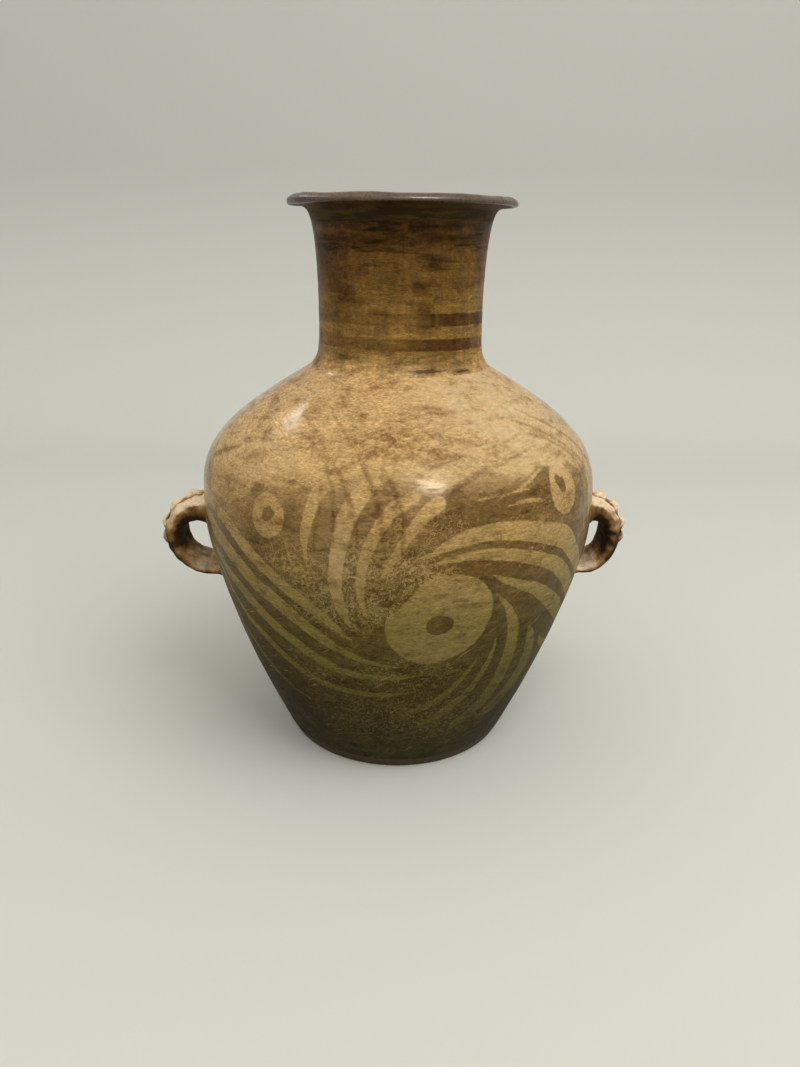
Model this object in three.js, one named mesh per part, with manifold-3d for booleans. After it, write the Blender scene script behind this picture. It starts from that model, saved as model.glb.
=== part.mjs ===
// A painted earthenware storage jar, built up from coils of clay: a flat base disc, a lower wall, a shoulder,
// a tall neck and an everted rim, luted together at slanted joints, with two strap handles at the belly.
// Each strap handle carries an applied strip that the potter pinched into four teeth.
// Units are millimetres. +Z is up. The jar stands on the plane Z = 0 with its axis on Z, its painted front
// faces -Y, and its handles stand out along -X and +X.

import * as THREE from 'three';
import { mergeVertices } from 'three/addons/utils/BufferGeometryUtils.js';
import Module from 'manifold-3d';

const wasm = await Module();
wasm.setup();

// Driving sizes of the wall, read on the outside. Heights are stacked from the foot up, so that a taller belly or
// neck carries what stands on it.

const RIM_RADIUS = 76.3;
const RIM_RISE = 9.3; // from the top of the neck to the top of the lip
const LIP_THICKNESS = 6.4;
const LIP_HOOK = 105; // degrees below level at which the rolled edge ends, so that it hooks down a little
const RIM_TURN_LENGTH = 4.5; // how far the neck's flare carries on before the rim turns out flat

const FOOT_RADIUS = 84.6;
const HEEL_CHAMFER = 1.5;
const FOOT_FLARE = 30; // degrees from upright at which the wall leaves the foot
const FOOT_SWEEP = 22; // how far that flare carries up the wall

const BELLY_RADIUS = 140.8;
const BELLY_HEIGHT = 176;
const BELLY_SWEEP_BELOW = 44; // how far the upright belly carries downwards
const BELLY_SWEEP_ABOVE = 43; // and upwards

const SHOULDER_TOP_RADIUS = 64;
const SHOULDER_RISE = 100.2; // from the belly's widest line to the top of the shoulder
const SHOULDER_SLOPE = 60; // degrees from upright
const SHOULDER_SWEEP = 90;

const NECK_FOOT_STEP = 3; // the neck's foot stands this far inside the shoulder's top
const NECK_FOOT_RISE = 2.8;
const NECK_FOOT_SLOPE = 28;
const NECK_FOOT_SWEEP = 7;
const NECK_RADIUS = 56.4;
const NECK_WAIST_RISE = 33; // from the neck's foot to its narrowest line
const NECK_SWEEP = 29;
const NECK_TOP_RADIUS = 62.5;
const NECK_HEIGHT = 64.7; // from its narrowest line to where the rim turns out
const NECK_TOP_FLARE = 33;
const NECK_TOP_SWEEP = 9;

const WALL_THICKNESS = 7;
const NECK_THICKNESS = 6;
const BASE_THICKNESS = 9;

// Joints between the members. Each upper member's edge slopes down inside the one below it.

const JOINT_GAP = 0.3;
const SCARF_DROP = 5;
const BELLY_JOINT_RISE = 22; // above the belly's widest line
const NECK_JOINT_RISE = 1.3; // above the top of the shoulder
const RIM_JOINT_DROP = 5.7; // below the top of the neck

// Strap handles. The two were made by hand, so the left one is a little larger and lower.

const STRAP_WIDTH = 36;
const STRAP_BACK = 3.2; // from the loop's line to the strap's flat back
const STRAP_BELLY = 10; // from the loop's line to the rounded inner side
const STRAP_EDGE_ROUNDNESS = 2.4; // exponent of the rounded section
const ROOT_WIDENING = 8; // extra width where a strap is smeared onto the wall
const TOP_ROOT_FILLING = 11; // extra clay inside the loop at its top root
const LOW_ROOT_THINNING = 6.5;
const ROOT_LENGTH = 16; // straight run into the wall, trimmed to the wall's surface
const ROOT_START = 45; // degrees round the loop, from its tip, at which a strap starts to widen
const LOOP_ROUNDNESS_ABOVE = 2; // exponents of the loop's line, 2 for an ellipse
const LOOP_ROUNDNESS_BELOW = 2.3;
const LEFT_HANDLE_HEIGHT = 151.5;
const LEFT_HANDLE_REACH = 33.8;
const LEFT_HANDLE_RISE = 25.6;
const LEFT_HANDLE_DROP = 27.3;
const RIGHT_HANDLE_HEIGHT = 156;
const RIGHT_HANDLE_REACH = 25.2;
const RIGHT_HANDLE_RISE = 24.6;
const RIGHT_HANDLE_DROP = 26.6;

// Pinched strip on the outer face of each strap.

const STRIP_WIDTH = 9;
const STRIP_FLOOR_HEIGHT = 1.2; // height of the strip in a pinched notch
const TOOTH_HEIGHT = 2.2; // rise of a tooth above that
const STRIP_START = 80; // degrees round the loop, 0 at the tip and 90 at the top root
const STRIP_END = -36;
const TOOTH_ANGLES = [66, 37, 11, -15];
const TOOTH_SPREAD = 12.5; // degrees from a tooth's crest to its notch
const TOOTH_FULLNESS = 0.8; // below 1 the crests are fuller than a cosine
const STRIP_WAIST = 0.95; // width of the strip's sides and of its crest, as shares of its foot
const STRIP_CREST = 0.55;
const STRIP_SIDE = 0.6; // height of its upright sides, as a share of its height

// How finely round shapes are divided.

const TURN_SEGMENTS = 64;
const LIP_STEPS = 6;
const RIM_CURVE_STEPS = 4;
const STRAP_CORNERS = 14;
const STRAP_STEPS = 16;
const STRIP_STEPS = 28;
const LOOP_NUDGE = 0.5; // degrees to each side, to find which way a loop faces
const LEAST_STEP = 0.4; // points of the profile nearer to a joint than this are left out

// Heights above the foot that follow from the sizes.

const shoulderHeight = BELLY_HEIGHT + SHOULDER_RISE;
const neckFootHeight = shoulderHeight + NECK_FOOT_RISE;
const neckWaistHeight = neckFootHeight + NECK_WAIST_RISE;
const neckTopHeight = neckWaistHeight + NECK_HEIGHT;
const lipHeight = neckTopHeight + RIM_RISE;
const bellyJointHeight = BELLY_HEIGHT + BELLY_JOINT_RISE;
const neckJointHeight = shoulderHeight + NECK_JOINT_RISE;
const rimJointHeight = neckTopHeight - RIM_JOINT_DROP;

// Profile of the wall, as curves in the plane of radius and height.

const radians = THREE.MathUtils.degToRad;

function point(radius, height) {
  return new THREE.Vector2(radius, height);
}

// A bend from one point to another. Slopes are degrees from upright, positive where the wall leans out.
function bend(start, startSlope, startSweep, end, endSlope, endSweep) {
  const a = radians(startSlope);
  const b = radians(endSlope);
  return new THREE.CubicBezierCurve(
    start,
    point(start.x + startSweep * Math.sin(a), start.y + startSweep * Math.cos(a)),
    point(end.x - endSweep * Math.sin(b), end.y - endSweep * Math.cos(b)),
    end,
  );
}

const footEdge = point(FOOT_RADIUS, HEEL_CHAMFER);
const belly = point(BELLY_RADIUS, BELLY_HEIGHT);
const shoulderTop = point(SHOULDER_TOP_RADIUS, shoulderHeight);
const neckFoot = point(SHOULDER_TOP_RADIUS - NECK_FOOT_STEP, neckFootHeight);
const neckWaist = point(NECK_RADIUS, neckWaistHeight);
const neckTop = point(NECK_TOP_RADIUS, neckTopHeight);

const bodyCurves = [
  { curve: bend(footEdge, FOOT_FLARE, FOOT_SWEEP, belly, 0, BELLY_SWEEP_BELOW), steps: 9 },
  { curve: bend(belly, 0, BELLY_SWEEP_ABOVE, shoulderTop, -SHOULDER_SLOPE, SHOULDER_SWEEP), steps: 10 },
];
const neckCurves = [
  { curve: bend(neckFoot, -NECK_FOOT_SLOPE, NECK_FOOT_SWEEP, neckWaist, 0, NECK_SWEEP), steps: 3 },
  { curve: bend(neckWaist, 0, NECK_SWEEP, neckTop, NECK_TOP_FLARE, NECK_TOP_SWEEP), steps: 6 },
];

// The points of some joined curves, moved inwards by an inset square to the surface.
function wallLine(pieces, inset) {
  const line = [];
  pieces.forEach(({ curve, steps }, index) => {
    for (let i = index === 0 ? 0 : 1; i <= steps; i += 1) {
      const along = i / steps;
      const tangent = curve.getTangent(along);
      const spot = curve.getPoint(along);
      line.push(point(spot.x - inset * tangent.y, spot.y + inset * tangent.x));
    }
  });
  return line;
}

const outside = [...wallLine(bodyCurves, 0), ...wallLine(neckCurves, 0)];
const inside = [...wallLine(bodyCurves, WALL_THICKNESS), ...wallLine(neckCurves, NECK_THICKNESS)];

function pointAtHeight(line, height) {
  const above = line.findIndex((spot) => spot.y >= height);
  const upper = line[above];
  const lower = line[above - 1];
  return lower.clone().lerp(upper, (height - lower.y) / (upper.y - lower.y));
}

// The stretch of a line between two heights. Points that nearly meet an end are left out.
function stretch(line, from, to) {
  const between = line.filter((spot) => spot.y > from + LEAST_STEP && spot.y < to - LEAST_STEP);
  return [pointAtHeight(line, from), ...between, pointAtHeight(line, to)];
}

// How far an upper member is lifted so that its slanted edge stands JOINT_GAP clear of the one below.
function liftAt(height) {
  const outer = pointAtHeight(outside, height);
  const inner = pointAtHeight(inside, height - SCARF_DROP);
  return (JOINT_GAP * outer.distanceTo(inner)) / (outer.x - inner.x);
}

// A ring of wall between two joints, as a closed profile that runs up the outside and down the inside.
function ringProfile(outerLine, innerLine) {
  const profile = [...outerLine, ...innerLine.slice().reverse()];
  return [...profile, profile[0].clone()];
}

function turn(profile) {
  const geometry = new THREE.LatheGeometry(profile, TURN_SEGMENTS);
  return geometry.rotateX(Math.PI / 2);
}

// Members of the body.

function baseDisc() {
  const edge = pointAtHeight(outside, BASE_THICKNESS);
  return turn([
    point(0, 0),
    point(FOOT_RADIUS - HEEL_CHAMFER, 0),
    footEdge,
    edge,
    point(0, BASE_THICKNESS),
  ]);
}

function lowerWall() {
  const seat = BASE_THICKNESS + JOINT_GAP;
  return turn(ringProfile(
    stretch(outside, seat, bellyJointHeight),
    stretch(inside, seat, bellyJointHeight - SCARF_DROP),
  ));
}

function shoulderWall() {
  const foot = bellyJointHeight + liftAt(bellyJointHeight);
  return turn(ringProfile(
    stretch(outside, foot, neckJointHeight),
    stretch(inside, foot - SCARF_DROP, neckJointHeight - SCARF_DROP),
  ));
}

function neck() {
  const foot = neckJointHeight + liftAt(neckJointHeight);
  return turn(ringProfile(
    stretch(outside, foot, rimJointHeight),
    stretch(inside, foot - SCARF_DROP, rimJointHeight - SCARF_DROP),
  ));
}

// The rim carries on the neck's flare, turns out flat, and ends in a rolled edge that hooks down a little.
function rim() {
  const foot = rimJointHeight + liftAt(rimJointHeight);
  const roll = LIP_THICKNESS / 2;
  const rollCentre = point(RIM_RADIUS - roll, lipHeight - roll);
  const edge = [];
  for (let i = 0; i <= LIP_STEPS; i += 1) {
    const angle = radians(THREE.MathUtils.lerp(-LIP_HOOK, 90, i / LIP_STEPS));
    edge.push(point(rollCentre.x + roll * Math.cos(angle), rollCentre.y + roll * Math.sin(angle)));
  }
  const flare = point(Math.sin(radians(NECK_TOP_FLARE)), Math.cos(radians(NECK_TOP_FLARE)));
  const innerTop = inside[inside.length - 1];
  const underside = new THREE.QuadraticBezierCurve(
    neckTop,
    neckTop.clone().addScaledVector(flare, RIM_TURN_LENGTH),
    edge[0],
  );
  const mouth = new THREE.QuadraticBezierCurve(
    edge[LIP_STEPS],
    innerTop.clone().addScaledVector(flare, RIM_TURN_LENGTH + LIP_THICKNESS / 3),
    innerTop,
  );
  const outerLine = [
    ...stretch(outside, foot, neckTopHeight),
    ...underside.getPoints(RIM_CURVE_STEPS).slice(1, -1),
    ...edge,
    ...mouth.getPoints(RIM_CURVE_STEPS).slice(1, -1),
  ];
  return turn(ringProfile(outerLine, stretch(inside, foot - SCARF_DROP, innerTop.y)));
}

// Handles. A loop is half an oval that stands on the wall, with a straight root at each end.

function loopOf(side, height, reach, rise, drop) {
  return { side, height, reach, rise, drop, wall: pointAtHeight(outside, height).x };
}

const leftLoop = loopOf(-1, LEFT_HANDLE_HEIGHT, LEFT_HANDLE_REACH, LEFT_HANDLE_RISE, LEFT_HANDLE_DROP);
const rightLoop = loopOf(1, RIGHT_HANDLE_HEIGHT, RIGHT_HANDLE_REACH, RIGHT_HANDLE_RISE, RIGHT_HANDLE_DROP);

// A value between -1 and 1 pushed outwards, as a rounder oval does with its cosine or sine.
function fuller(value, roundness) {
  return Math.sign(value) * Math.abs(value) ** (2 / roundness);
}

function spotOnLoop(loop, degrees) {
  const angle = radians(degrees);
  const roundness = degrees > 0 ? LOOP_ROUNDNESS_ABOVE : LOOP_ROUNDNESS_BELOW;
  const half = degrees > 0 ? loop.rise : loop.drop;
  return point(
    loop.wall + loop.reach * fuller(Math.cos(angle), roundness),
    loop.height + half * fuller(Math.sin(angle), roundness),
  );
}

// A place on a loop's line, with the direction that points out of the loop.
function placeOnLoop(loop, degrees) {
  const above = spotOnLoop(loop, Math.min(degrees + LOOP_NUDGE, 90));
  const below = spotOnLoop(loop, Math.max(degrees - LOOP_NUDGE, -90));
  const outward = point(above.y - below.y, below.x - above.x).normalize();
  return { spot: spotOnLoop(loop, degrees), outward };
}

// The direction out of the loop at its ends, where it meets the wall squarely.
function placeAtRoot(loop, degrees) {
  return { spot: spotOnLoop(loop, degrees), outward: point(0, Math.sign(degrees)) };
}

// 0 along the free part of a strap, rising to 1 at its roots.
function rootShare(degrees) {
  return THREE.MathUtils.smoothstep(Math.abs(degrees), ROOT_START, 90);
}

// How far the rounded inner side lies from the loop's line.
function bellyDepth(degrees) {
  const share = (degrees / 90) ** 2;
  return STRAP_BELLY + share * (degrees > 0 ? TOP_ROOT_FILLING : -LOW_ROOT_THINNING);
}

// A solid through rings of points that all have the same count, with a flat face at each end.
function loft(rings) {
  const count = rings[0].length;
  const positions = rings.flat().flatMap((spot) => [spot.x, spot.y, spot.z]);
  const faces = [];
  for (let ring = 0; ring < rings.length - 1; ring += 1) {
    for (let i = 0; i < count; i += 1) {
      const next = (i + 1) % count;
      const here = ring * count;
      const there = here + count;
      faces.push(here + i, there + next, there + i, here + i, here + next, there + next);
    }
  }
  const last = (rings.length - 1) * count;
  for (let i = 1; i < count - 1; i += 1) {
    faces.push(0, i + 1, i, last, last + i, last + i + 1);
  }
  const geometry = new THREE.BufferGeometry();
  geometry.setAttribute('position', new THREE.Float32BufferAttribute(positions, 3));
  geometry.setIndex(faces);
  return geometry;
}

// One section of a strap or strip: offsets of [across, outward] set round a place on the loop.
function sectionRing(loop, place, offsets) {
  const ring = offsets.map(([across, out]) => new THREE.Vector3(
    loop.side * (place.spot.x + out * place.outward.x),
    across,
    place.spot.y + out * place.outward.y,
  ));
  return loop.side > 0 ? ring : ring.reverse();
}

// The strap's section: a low back and a deeper rounded inner side.
function strapSection(degrees) {
  const halfWidth = (STRAP_WIDTH + ROOT_WIDENING * rootShare(degrees)) / 2;
  return Array.from({ length: STRAP_CORNERS }, (_, i) => {
    const angle = (2 * Math.PI * i) / STRAP_CORNERS;
    const depth = Math.sin(angle) > 0 ? STRAP_BACK : bellyDepth(degrees);
    return [
      halfWidth * fuller(Math.cos(angle), STRAP_EDGE_ROUNDNESS),
      depth * fuller(Math.sin(angle), STRAP_EDGE_ROUNDNESS),
    ];
  });
}

function strapRings(loop) {
  const rings = [];
  const rootAt = (degrees) => {
    const place = placeAtRoot(loop, degrees);
    place.spot.x -= ROOT_LENGTH;
    return sectionRing(loop, place, strapSection(degrees));
  };
  rings.push(rootAt(90));
  for (let i = 0; i <= STRAP_STEPS; i += 1) {
    const degrees = 90 - (180 * i) / STRAP_STEPS;
    const place = Math.abs(degrees) === 90 ? placeAtRoot(loop, degrees) : placeOnLoop(loop, degrees);
    rings.push(sectionRing(loop, place, strapSection(degrees)));
  }
  rings.push(rootAt(-90));
  return rings;
}

// How high the pinched strip stands: a tooth's rounded crest, or the floor between teeth.
function stripHeight(degrees) {
  const rise = TOOTH_ANGLES.map((crest) => {
    const away = Math.min(Math.abs(degrees - crest) / TOOTH_SPREAD, 1);
    return Math.cos((away * Math.PI) / 2) ** TOOTH_FULLNESS;
  });
  return STRIP_FLOOR_HEIGHT + TOOTH_HEIGHT * Math.max(...rise);
}

function stripRings(loop) {
  const rings = [];
  for (let i = 0; i <= STRIP_STEPS; i += 1) {
    const degrees = THREE.MathUtils.lerp(STRIP_START, STRIP_END, i / STRIP_STEPS);
    const seat = STRAP_BACK + JOINT_GAP;
    const top = seat + stripHeight(degrees);
    const half = STRIP_WIDTH / 2;
    const side = THREE.MathUtils.lerp(seat, top, STRIP_SIDE);
    const section = [
      [half, seat],
      [half * STRIP_WAIST, side],
      [half * STRIP_CREST, top],
      [-half * STRIP_CREST, top],
      [-half * STRIP_WAIST, side],
      [-half, seat],
    ];
    rings.push(sectionRing(loop, placeOnLoop(loop, degrees), section));
  }
  return rings;
}

// Cutting the roots to the wall.

function toManifold(geometry) {
  const bare = geometry.clone();
  bare.deleteAttribute('normal');
  bare.deleteAttribute('uv');
  const merged = mergeVertices(bare, 1e-4);
  return new wasm.Manifold(new wasm.Mesh({
    numProp: 3,
    vertProperties: new Float32Array(merged.attributes.position.array),
    triVerts: new Uint32Array(merged.index.array),
  }));
}

function toGeometry(manifold) {
  const mesh = manifold.getMesh();
  const geometry = new THREE.BufferGeometry();
  geometry.setAttribute('position', new THREE.BufferAttribute(new Float32Array(mesh.vertProperties), 3));
  geometry.setIndex(new THREE.BufferAttribute(new Uint32Array(mesh.triVerts), 1));
  return geometry;
}

// The body's outside, grown by the joint gap and filled in, so that what it cuts stands just clear of it.
function bodyEnvelope() {
  const grown = wallLine(bodyCurves, -JOINT_GAP);
  const bottom = grown[0];
  const top = grown[grown.length - 1];
  return toManifold(turn([point(0, bottom.y), ...grown, point(0, top.y)]));
}

const envelope = bodyEnvelope();

function handle(loop) {
  return toGeometry(toManifold(loft(strapRings(loop))).subtract(envelope));
}

function pinchedStrip(loop) {
  return toGeometry(toManifold(loft(stripRings(loop))).subtract(envelope));
}

// Colours and finishes: burnished buff clay, darker painted ground below, bare orange clay on the handles.

function clay(color, roughness) {
  return new THREE.MeshStandardMaterial({ color, roughness, metalness: 0 });
}

const groundColour = 0x6f5a35;
const shoulderColour = 0xb08a52;
const neckColour = 0x7d5c33;
const rimColour = 0x4a3229;
const baseColour = 0x8a6a42;
const handleColour = 0xa8794c;

const jar = new THREE.Group();

function add(name, geometry, material) {
  geometry.computeVertexNormals();
  const mesh = new THREE.Mesh(geometry, material);
  mesh.name = name;
  jar.add(mesh);
}

add('base_disc', baseDisc(), clay(baseColour, 0.85));
add('lower_wall', lowerWall(), clay(groundColour, 0.5));
add('shoulder_wall', shoulderWall(), clay(shoulderColour, 0.45));
add('neck', neck(), clay(neckColour, 0.5));
add('rim', rim(), clay(rimColour, 0.5));
add('left_handle', handle(leftLoop), clay(handleColour, 0.7));
add('right_handle', handle(rightLoop), clay(handleColour, 0.7));
add('left_handle_strip', pinchedStrip(leftLoop), clay(handleColour, 0.7));
add('right_handle_strip', pinchedStrip(rightLoop), clay(handleColour, 0.7));

export default jar;
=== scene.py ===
# %% [markdown]
# A painted earthenware jar, coil-built and turned smooth, with a tall neck, two strap handles at the belly and
# dark painted swirls. The solid model gives the exact sizes, so this scene loads it first and every finer surface
# is built in the same frame, in metres. The box of the solid model is kept, to compare with the dressed one.

# %% Load the frame
import math
import bpy
import numpy as np
from mathutils import Matrix, Vector


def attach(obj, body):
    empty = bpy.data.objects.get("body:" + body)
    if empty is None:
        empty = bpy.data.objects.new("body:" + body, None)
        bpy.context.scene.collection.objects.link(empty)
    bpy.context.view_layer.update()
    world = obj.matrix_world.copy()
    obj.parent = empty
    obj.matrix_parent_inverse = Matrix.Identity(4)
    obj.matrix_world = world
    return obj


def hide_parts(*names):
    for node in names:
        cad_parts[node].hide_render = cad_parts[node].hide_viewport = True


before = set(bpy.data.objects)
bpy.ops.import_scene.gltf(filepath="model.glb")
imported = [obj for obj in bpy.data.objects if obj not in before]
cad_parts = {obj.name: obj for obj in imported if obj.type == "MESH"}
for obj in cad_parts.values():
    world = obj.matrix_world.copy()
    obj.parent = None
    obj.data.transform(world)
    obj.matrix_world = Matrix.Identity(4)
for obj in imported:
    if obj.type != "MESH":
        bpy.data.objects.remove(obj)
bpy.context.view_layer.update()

# %% [markdown]
# The camera stands a little above the rim and looks down on the belly. It comes first, because its height and lens
# decide which surfaces show. The lens follows from the picture's angle of view, and the small roll keeps the jar's
# slight lean in the frame.

# %% Camera
MM = 0.001
CAMERA_PLACE = Vector((1.64, -571.3, 362.4)) * MM
CAMERA_PITCH = math.radians(20.45)
CAMERA_ROLL = math.radians(0.78)
LENS_MM = 27.0
SENSOR_MM = 36.0

camera_data = bpy.data.cameras.new("camera")
camera_data.lens = LENS_MM
camera_data.sensor_width = SENSOR_MM
camera = bpy.data.objects.new("camera", camera_data)
bpy.context.scene.collection.objects.link(camera)
tilt = Matrix.Rotation(math.pi / 2 - CAMERA_PITCH, 4, "X")
camera.matrix_world = Matrix.Translation(CAMERA_PLACE) @ tilt @ Matrix.Rotation(CAMERA_ROLL, 4, "Z")
bpy.context.scene.camera = camera
print("camera at", [round(c, 4) for c in CAMERA_PLACE])

# %% [markdown]
# The wall's profile is drawn as four soft curves, the way a potter's template would be cut: foot to belly, belly to
# shoulder, shoulder to the neck's waist, and waist to the flare under the rim. The sizes are those of the solid
# model, in millimetres, read as radius and height.

# %% Profile curves
FOOT = (84.6, 1.5)
BELLY = (140.8, 176.0)
SHOULDER_TOP = (64.0, 276.2)
NECK_FOOT = (61.0, 279.0)
NECK_WAIST = (56.4, 312.0)
NECK_TOP = (62.5, 376.7)
RIM_RADIUS = 76.3
LIP_HEIGHT = 386.0
BASE_THICKNESS = 9.0
BODY_THICKNESS = 7.0
NECK_THICKNESS = 6.0
BELLY_JOINT = 198.0
NECK_JOINT = 277.5
RIM_JOINT = 371.0
SCARF_DROP = 5.0


def bend(start, start_slope, start_sweep, end, end_slope, end_sweep, steps):
    """Points of a soft curve. Slopes are degrees from upright, positive where the wall leans out."""
    a, b = math.radians(start_slope), math.radians(end_slope)
    first, last = np.array(start), np.array(end)
    near_first = first + start_sweep * np.array([math.sin(a), math.cos(a)])
    near_last = last - end_sweep * np.array([math.sin(b), math.cos(b)])
    t = np.linspace(0, 1, steps + 1)[:, None]
    return ((1 - t) ** 3 * first + 3 * (1 - t) ** 2 * t * near_first
            + 3 * (1 - t) * t**2 * near_last + t**3 * last)


def directions(line):
    """The unit direction of a line at each of its points."""
    along = np.gradient(line, axis=0)
    return along / np.linalg.norm(along, axis=1)[:, None]


def inset(line, depth):
    """The same line moved inwards, square to the surface."""
    along = directions(line)
    return np.stack([line[:, 0] - depth * along[:, 1], line[:, 1] + depth * along[:, 0]], 1)


CURVE_STEPS = 160
foot_to_belly = bend(FOOT, 30, 22, BELLY, 0, 44, CURVE_STEPS)
belly_to_shoulder = bend(BELLY, 0, 43, SHOULDER_TOP, -60, 90, CURVE_STEPS)
neck_to_waist = bend(NECK_FOOT, -28, 7, NECK_WAIST, 0, 29, CURVE_STEPS)
waist_to_rim = bend(NECK_WAIST, 0, 29, NECK_TOP, 33, 9, CURVE_STEPS)
body_outside = np.vstack([foot_to_belly, belly_to_shoulder[1:]])
neck_outside = np.vstack([neck_to_waist, waist_to_rim[1:]])
outside = np.vstack([body_outside, neck_outside])
inside = np.vstack([inset(body_outside, BODY_THICKNESS), inset(neck_outside, NECK_THICKNESS)])


def wall_radius(height):
    return np.interp(height, outside[:, 1], outside[:, 0])


def stretch(line, low, high):
    """The part of a line between two heights, ends included."""
    between = line[(line[:, 1] > low + 0.05) & (line[:, 1] < high - 0.05)]
    ends = [(np.interp(h, line[:, 1], line[:, 0]), h) for h in (low, high)]
    return np.vstack([ends[0], between, ends[1]])


def run_along(line):
    """How far along a line each of its points lies."""
    return np.r_[0, np.cumsum(np.linalg.norm(np.diff(line, axis=0), axis=1))]


def taken_at(at, run, rows):
    """Rows of numbers given along a line, taken at other distances along it."""
    return np.stack([np.interp(at, run, column) for column in rows.T], 1)


def even_steps(line, spacing):
    """The same line with its points about one spacing apart."""
    run = run_along(line)
    count = max(2, int(round(run[-1] / spacing)) + 1)
    return taken_at(np.linspace(0, run[-1], count), run, line)


print("widest", outside[:, 0].max(), "mm at", outside[outside[:, 0].argmax(), 1], "mm")

# %% [markdown]
# Nothing made by hand is perfectly round. A sum of many slow waves round and up the jar gives the gentle unevenness
# of a paddled, scraped and burnished wall. Whole numbers of waves round the jar make it join up with itself, and a
# seeded generator gives the same jar each time.

# %% Hand-made unevenness
BELLY_CIRCLE = 2 * math.pi * BELLY[0]
# Heights in millimetres: the rim was trued above the first, and the neck was scraped in fine rings from the second.
TRUED_FROM = 368
SCRAPED_FROM = 262
FADE = 20


def hand_waves(turn, height, seed, finest, coarsest, terms=40):
    """Smooth unevenness of about unit size, with waves between two lengths in millimetres."""
    random = np.random.default_rng(seed)
    total = np.zeros(np.broadcast(turn, height).shape)
    for _ in range(terms):
        length = finest * (coarsest / finest) ** random.random()
        heading = random.random() * math.pi
        round_count = round(BELLY_CIRCLE / length * math.cos(heading))
        rise = 2 * math.pi / length * math.sin(heading)
        total += np.sin(round_count * turn + rise * height + random.random() * 2 * math.pi)
    return total / math.sqrt(terms / 2)


def wall_unevenness(turn, height):
    """How far the outside stands off its true profile, in millimetres."""
    untrued = np.clip((TRUED_FROM - height) / FADE, 0, 1)
    slow = 0.25 * hand_waves(turn, height, 11, 90, 260, 16)
    paddled = 0.09 * hand_waves(turn, height, 12, 22, 60) * (0.3 + 0.7 * untrued)
    scraped = 0.035 * np.sin(height / 1.9 + 1.3 * np.sin(2 * turn)) * (height > SCRAPED_FROM) * untrued
    return (slow + paddled) * np.clip(height / FADE, 0, 1) + scraped


def inner_unevenness(turn, height):
    return 0.45 * hand_waves(turn, height, 21, 18, 70)

# %% [markdown]
# Every ring of wall is one closed mesh: up the outside, over the joint, down the inside and back. It is built as a
# grid of points round the axis, because a painted surface this fine needs points about one and a half millimetres
# apart, and a grid is quick to make and clean to shade.

# %% Turned meshes
COLUMNS = 560
OUTER_STEP = 1.5
INNER_STEP = 5.0
turns = np.linspace(-math.pi, math.pi, COLUMNS, endpoint=False)


def add_object(name, points, faces, sharp_degrees=35):
    """A smooth-shaded mesh object from points in millimetres."""
    mesh = bpy.data.meshes.new(name)
    mesh.from_pydata([tuple(p) for p in np.asarray(points) * MM], [], faces)
    mesh.validate()
    mesh.polygons.foreach_set("use_smooth", [True] * len(mesh.polygons))
    mesh.set_sharp_from_angle(angle=math.radians(sharp_degrees))
    made = bpy.data.objects.new(name, mesh)
    bpy.context.scene.collection.objects.link(made)
    return made


def grid_faces(rows, columns, closed_rows):
    """Quads between neighbouring rows of points, each row a closed ring."""
    row = np.arange(rows if closed_rows else rows - 1)
    here, up = row[:, None] * columns, ((row + 1) % rows)[:, None] * columns
    column = np.arange(columns)
    after = (column + 1) % columns
    quads = np.stack([here + column, here + after, up + after, up + column], -1)
    return quads.reshape(-1, 4).tolist()


def turned_points(profile, off=None):
    """Points of a profile carried round the axis, moved out by off(turn, height) along the profile's normal."""
    radius, height = profile[:, :1], profile[:, 1:]
    if off is not None:
        along = directions(profile)
        shift = off(turns[None, :], height)
        radius, height = radius + shift * along[:, 1:], height - shift * along[:, :1]
    radius, height = [np.broadcast_to(part, (len(profile), COLUMNS)) for part in (radius, height)]
    return np.stack([radius * np.sin(turns), -radius * np.cos(turns), height], -1).reshape(-1, 3)


def ring_of_wall(name, low, high, inner_low):
    """One closed ring of wall between two heights. Its points start with the outside, row by row."""
    outer = turned_points(even_steps(stretch(outside, low, high), OUTER_STEP), wall_unevenness)
    inner_line = even_steps(stretch(inside, inner_low, high - SCARF_DROP), INNER_STEP)
    points = np.vstack([outer, turned_points(inner_line[::-1], inner_unevenness)])
    made = add_object(name, points, grid_faces(len(points) // COLUMNS, COLUMNS, True))
    print(name, len(made.data.polygons), "faces")
    return made, outer


# %% [markdown]
# The swirls are dark paint laid round shapes that were left in bare clay: a big eye, small eyes between, and
# tapering bands that sweep from one eye round the next. Each band is written as the painter's stroke, with the
# places it passes through in degrees round the jar, height and width in millimetres. The distance to the nearest
# stroke edge is stored on the wall's points, so the material can draw a crisp, slightly ragged edge from it.

# %% Strokes
HALF_ROUND = 180

EYE = [(6, 169.5), (2, 156), (-2.4, 144.5), (-2.9, 134.5), (-1.4, 123), (3.3, 112), (10, 107.6), (17.9, 112.5),
       (23.2, 123), (25.7, 140), (24.9, 157), (20.5, 170), (14.9, 174.6), (9.7, 173.5)]
SMALL_EYE_LEFT = [(-39.6, 203), (-38.6, 193.5), (-35, 188.6), (-31, 192.5), (-28.9, 202), (-30.4, 211.5),
                  (-34.5, 216.6), (-38.4, 212)]
SMALL_EYE_RIGHT = [(43.4, 215), (44.6, 206), (48.5, 198.5), (53, 201), (55.5, 213), (54.5, 224), (50, 229.5),
                   (45.5, 226)]

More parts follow.
